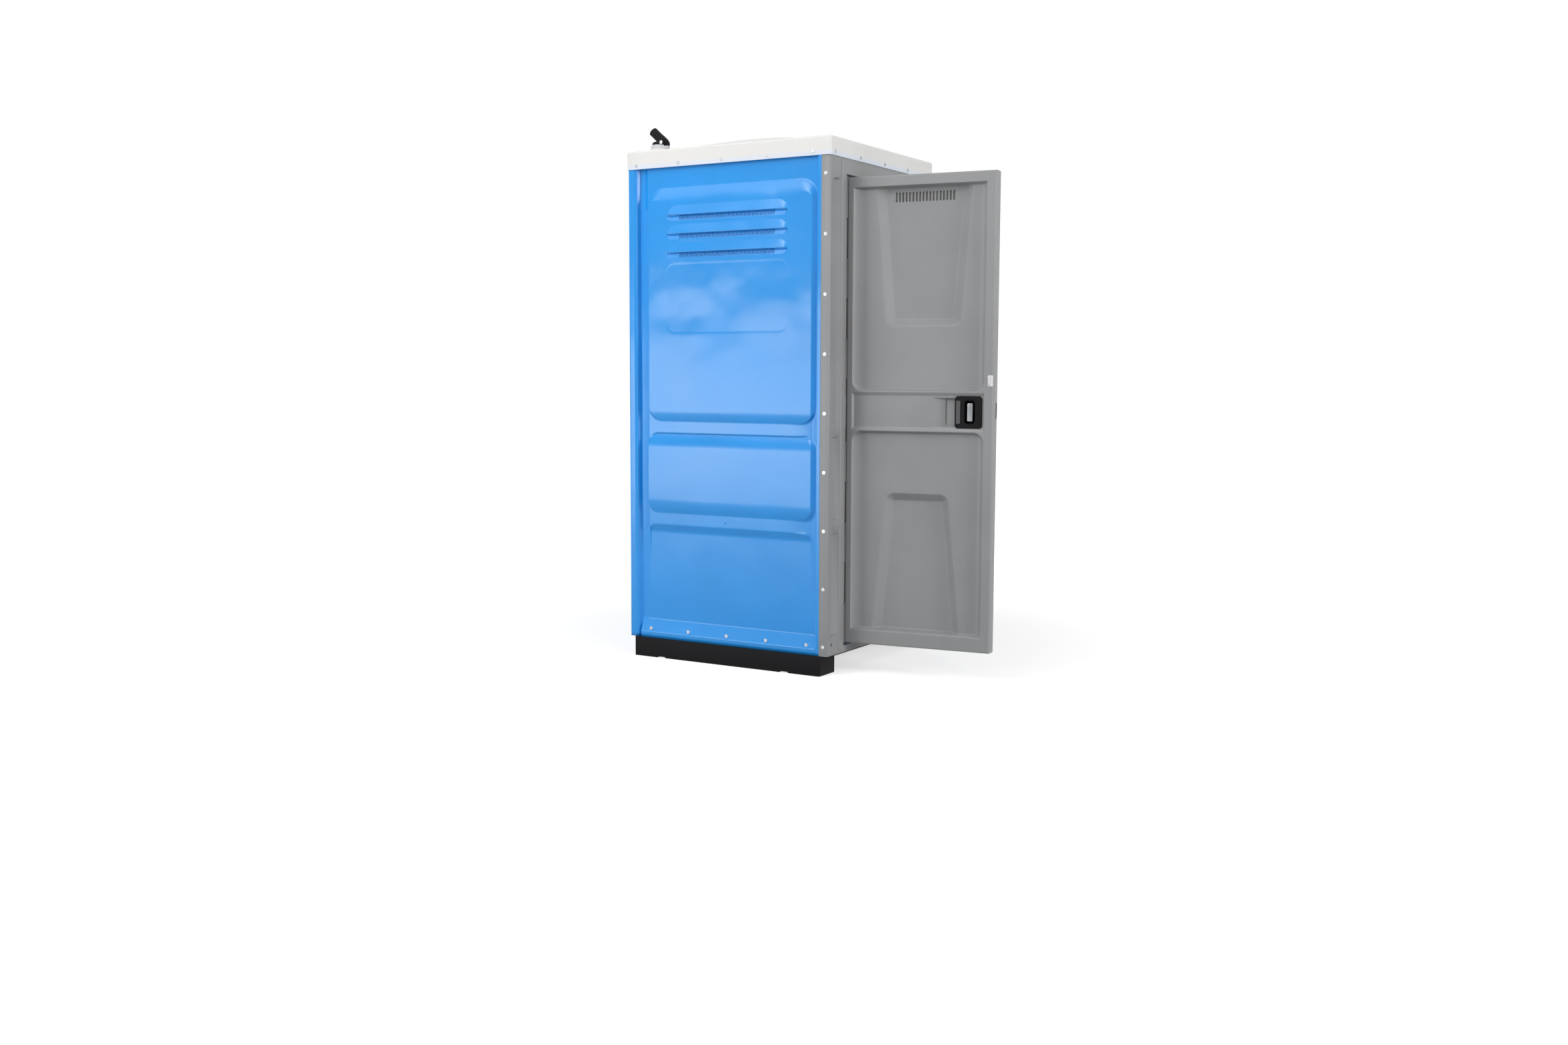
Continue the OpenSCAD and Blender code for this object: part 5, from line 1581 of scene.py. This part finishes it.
@dataclass(frozen=True)
class Plumbing(SubAssembly):
    """Pipes, mixer with its two taps, and the shower head."""

    rounded: tuple[Dressing, ...] = (
        Dressing("hot_knob", Body.HOT, Slot.KNOB_RED, 1.2),
        Dressing("cold_knob", Body.COLD, Slot.KNOB_BLUE, 1.2),
        Dressing("shower_head", Body.SPRAY, Slot.POLISHED_STEEL, 1.5, 3),
        Dressing("mixer_body", Body.CABIN, Slot.POLISHED_STEEL, 1.5, 3),
    )
    kept: tuple[tuple[Slot, tuple[str, ...]], ...] = (
        (Slot.POLISHED_STEEL, ("supply_pipe", "riser_pipe", "shower_arm")),
        (Slot.DARK_PLASTIC, ("pipe_clips", "nozzle_plate")),
    )


@dataclass(frozen=True)
class InnerFittings(SubAssembly):
    """The soap shelf and the coat hooks."""

    rounded: tuple[Dressing, ...] = (Dressing("soap_shelf", Body.CABIN, Slot.TRAY_WHITE, 1.2),)
    kept: tuple[tuple[Slot, tuple[str, ...]], ...] = (
        (Slot.POLISHED_STEEL, ("coat_hooks",)),
        (Slot.ZINC, ("hook_screws",)),
    )


@dataclass(frozen=True)
class Fasteners(SubAssembly):
    """The screws that hold the shell together, and the angles in its rear corners."""

    kept: tuple[tuple[Slot, tuple[str, ...]], ...] = (
        (Slot.ZINC, ("corner_screws", "roof_screws", "sill_screws", "rear_screws", "rear_angles")),
    )


@dataclass(frozen=True)
class Lamp:
    """A soft rectangular lamp: its place, aim and size in metres, and its power in watts."""

    name: str
    place: Vec
    aim: Vec
    size: tuple[float, float]
    power: float

    def hang(self) -> None:
        """Adds the lamp to the scene."""
        data = bpy.data.lights.new(self.name, "AREA")
        data.shape = "RECTANGLE"
        data.size, data.size_y = self.size
        data.energy = self.power
        lamp = bpy.data.objects.new(self.name, data)
        lamp.location = self.place
        lamp.rotation_euler = (Vector(self.aim) - Vector(self.place)).to_track_quat("-Z", "Y").to_euler()
        bpy.context.scene.collection.objects.link(lamp)


@dataclass
class Studio:
    """Floor, backdrop, light and camera, in metres and radians."""

    lamps: tuple[Lamp, ...] = (
        Lamp("overhead", (-0.6, -0.9, 5.0), (-0.2, -0.1, 1.0), (3.4, 3.4), 35.0),
        Lamp("front", (-0.8, -6.5, 2.4), (-0.2, -0.4, 1.1), (1.3, 2.6), 215.0),
        Lamp("fill", (-4.0, -5.3, 2.4), (-0.4, -0.6, 1.1), (1.2, 1.2), 50.0),
        Lamp("key", (-4.6, 2.4, 0.95), (-0.47, 0.0, 1.1), (2.5, 1.4), 72.0),
        Lamp("side", (-4.5, 0.8, 4.1), (-0.47, -0.2, 1.1), (2.1, 2.1), 92.0),
        Lamp("high", (-2.9, 1.7, 4.6), (-0.47, 0.0, 1.9), (3.2, 2.8), 54.0),
    )
    world_level: float = 0.27
    floor_half: float = 40.0
    floor_bounce: float = 0.35
    floor_grey: float = 0.55
    glow_near: float = 0.62
    glow_rise: tuple[float, float] = (0.9, 3.4)
    camera_place: Vec = (-5.867502, -3.518937, 1.244422)
    camera_yaw: float = -1.0321827
    camera_pitch: float = 0.0971212
    camera_roll: float = 0.0041591
    camera_lens: float = 34.8454
    white: ClassVar[Colour] = (1.0, 1.0, 1.0)

    @staticmethod
    def seen(net: Net) -> Sock:
        """Tells by which rays the background is seen: straight, mirrored or through glass.

        Args:
            net: The net of the floor or of the world.

        Returns:
            1 for such rays, else 0.
        """
        rays = [net.node("ShaderNodeLightPath", {}, out=kind)
                for kind in ("Is Camera Ray", "Is Glossy Ray", "Is Transmission Ray")]
        return (rays[0] + rays[1] + rays[2]).clamped()

    def floor(self) -> None:
        """Lays the floor, white where no shadow falls."""
        mesh = bpy.data.meshes.new("studio_floor")
        half = self.floor_half
        mesh.from_pydata([(-half, -half, 0), (half, -half, 0), (half, half, 0), (-half, half, 0)], [],
                         [(0, 1, 2, 3)])
        piece = bpy.data.objects.new("studio_floor", mesh)
        bpy.context.scene.collection.objects.link(piece)
        net = Net("studio_floor")
        bounce = net.node("ShaderNodeBsdfDiffuse", {}, (self.floor_bounce,) * 3)
        shaded = net.node("ShaderNodeBsdfDiffuse", {}, (self.floor_grey,) * 3)
        flat = net.node("ShaderNodeVectorMath", {"operation": "MULTIPLY"}, net.place, (1.0, 1.0, 0.0))
        away = net.node("ShaderNodeVectorMath", {"operation": "LENGTH"}, flat, out="Value")
        tone = net.mix(away.stepped(*self.glow_rise), (self.glow_near,) * 3, self.white)
        glow = net.node("ShaderNodeEmission", {}, tone, 1.0)
        white = net.node("ShaderNodeAddShader", {}, shaded, glow)
        net.node_output(net.node("ShaderNodeMixShader", {}, self.seen(net), bounce, white))
        mesh.materials.append(net.material)

    def backdrop(self) -> None:
        """Makes the world, white where it is seen and dim where it lights."""
        world = bpy.data.worlds.new("studio_world")
        world.use_nodes = True
        sky = Net.of_world(world)
        dim = sky.node("ShaderNodeBackground", {}, self.white, self.world_level)
        bright = sky.node("ShaderNodeBackground", {}, self.white, 1.0)
        mixed = sky.node("ShaderNodeMixShader", {}, self.seen(sky), dim, bright)
        output = sky.tree.nodes.new("ShaderNodeOutputWorld")
        sky.tree.links.new(mixed.socket, output.inputs["Surface"])
        bpy.context.scene.world = world

    def camera(self) -> None:
        """Stands the camera where the photograph was taken from."""
        yaw, pitch, roll = self.camera_yaw, self.camera_pitch, self.camera_roll
        back = Vector((math.sin(yaw) * math.cos(pitch), -math.cos(yaw) * math.cos(pitch), math.sin(pitch)))
        right = (-back).cross(Vector((0, 0, 1))).normalized()
        up = right.cross(-back)
        across = math.cos(roll) * right + math.sin(roll) * up
        above = -math.sin(roll) * right + math.cos(roll) * up
        data = bpy.data.cameras.new("camera")
        data.lens = self.camera_lens
        data.sensor_width = 36.0
        camera = bpy.data.objects.new("camera", data)
        turn = Matrix((across, above, back)).transposed().to_4x4()
        camera.matrix_world = Matrix.Translation(self.camera_place) @ turn
        bpy.context.scene.collection.objects.link(camera)
        bpy.context.scene.camera = camera
        bpy.context.scene.view_settings.view_transform = "Standard"

    def build(self) -> None:
        """Sets the whole stage."""
        self.floor()
        self.backdrop()
        for lamp in self.lamps:
            lamp.hang()
        self.camera()


def make_finishes() -> dict[Slot, bpy.types.Material]:
    """Makes every finish of the record.

    Returns:
        The materials by slot.
    """
    makers = (
        MouldedPlastic(Slot.WALL_BLUE, (0.013, 0.263, 0.7), 0.23, 0.04, 0.14, 620.0, sharp_edge_lightening=0.05, ripple=300.0),
        MouldedPlastic(Slot.FRAME_GREY, (0.24, 0.243, 0.247), 0.5, 0.07, 0.3, 520.0, scuffs=0.05, sharp_edge_lightening=0.1),
        MouldedPlastic(Slot.ROOF_WHITE, (0.665, 0.66, 0.645), 0.42, 0.03, 0.15, 500.0, sharp_edge_lightening=0.0,
                       low_tint=((0.58, 0.66, 0.8), 2.13, 2.15)),
        MouldedPlastic(Slot.BLACK_PLASTIC, (0.01, 0.01, 0.011), 0.55, 0.12, 0.3, 500.0, scuffs=0.02, sharp_edge_lightening=0.05,
                       shine=0.06),
        MouldedPlastic(Slot.DARK_PLASTIC, (0.055, 0.055, 0.058), 0.5, 0.1, 0.2),
        MouldedPlastic(Slot.TRAY_WHITE, (0.74, 0.74, 0.72), 0.35, 0.04, 0.15, sharp_edge_lightening=0.0),
        MouldedPlastic(Slot.SLEEVE_GREY, (0.5, 0.51, 0.53), 0.45, 0.05, 0.2, sharp_edge_lightening=0.0),
        MouldedPlastic(Slot.KNOB_RED, (0.6, 0.05, 0.04), 0.25, 0.05, 0.05, coat=0.3),
        MouldedPlastic(Slot.KNOB_BLUE, (0.04, 0.12, 0.5), 0.25, 0.05, 0.05, coat=0.3),
        CoatedPlate(Slot.PLATE_WHITE, (0.62, 0.62, 0.63)),
        BareMetal(Slot.ZINC, (0.44, 0.445, 0.45), 0.36),
        BareMetal(Slot.POLISHED_STEEL, (0.31, 0.32, 0.335), 0.2),
    )
    return {maker.slot: maker.material() for maker in makers}


def main() -> None:
    """Builds the whole scene."""
    logging.basicConfig(level=logging.INFO, format="%(name)s %(levelname)s %(message)s")
    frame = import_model()
    shop = Workshop(frame["nodes"], make_finishes())
    for part in (Shell(), Roof(), DoorLeaf(), Base(), FrontFrame(), DoorHinge(), DoorFittings(), RoofInlet(),
                 Plumbing(), InnerFittings(), Fasteners()):
        part.build(shop)
    if shop.bare:
        LOG.warning("nodes without a dress: %s", sorted(shop.bare))
    Studio().build()


if __name__ == "__main__":
    main()
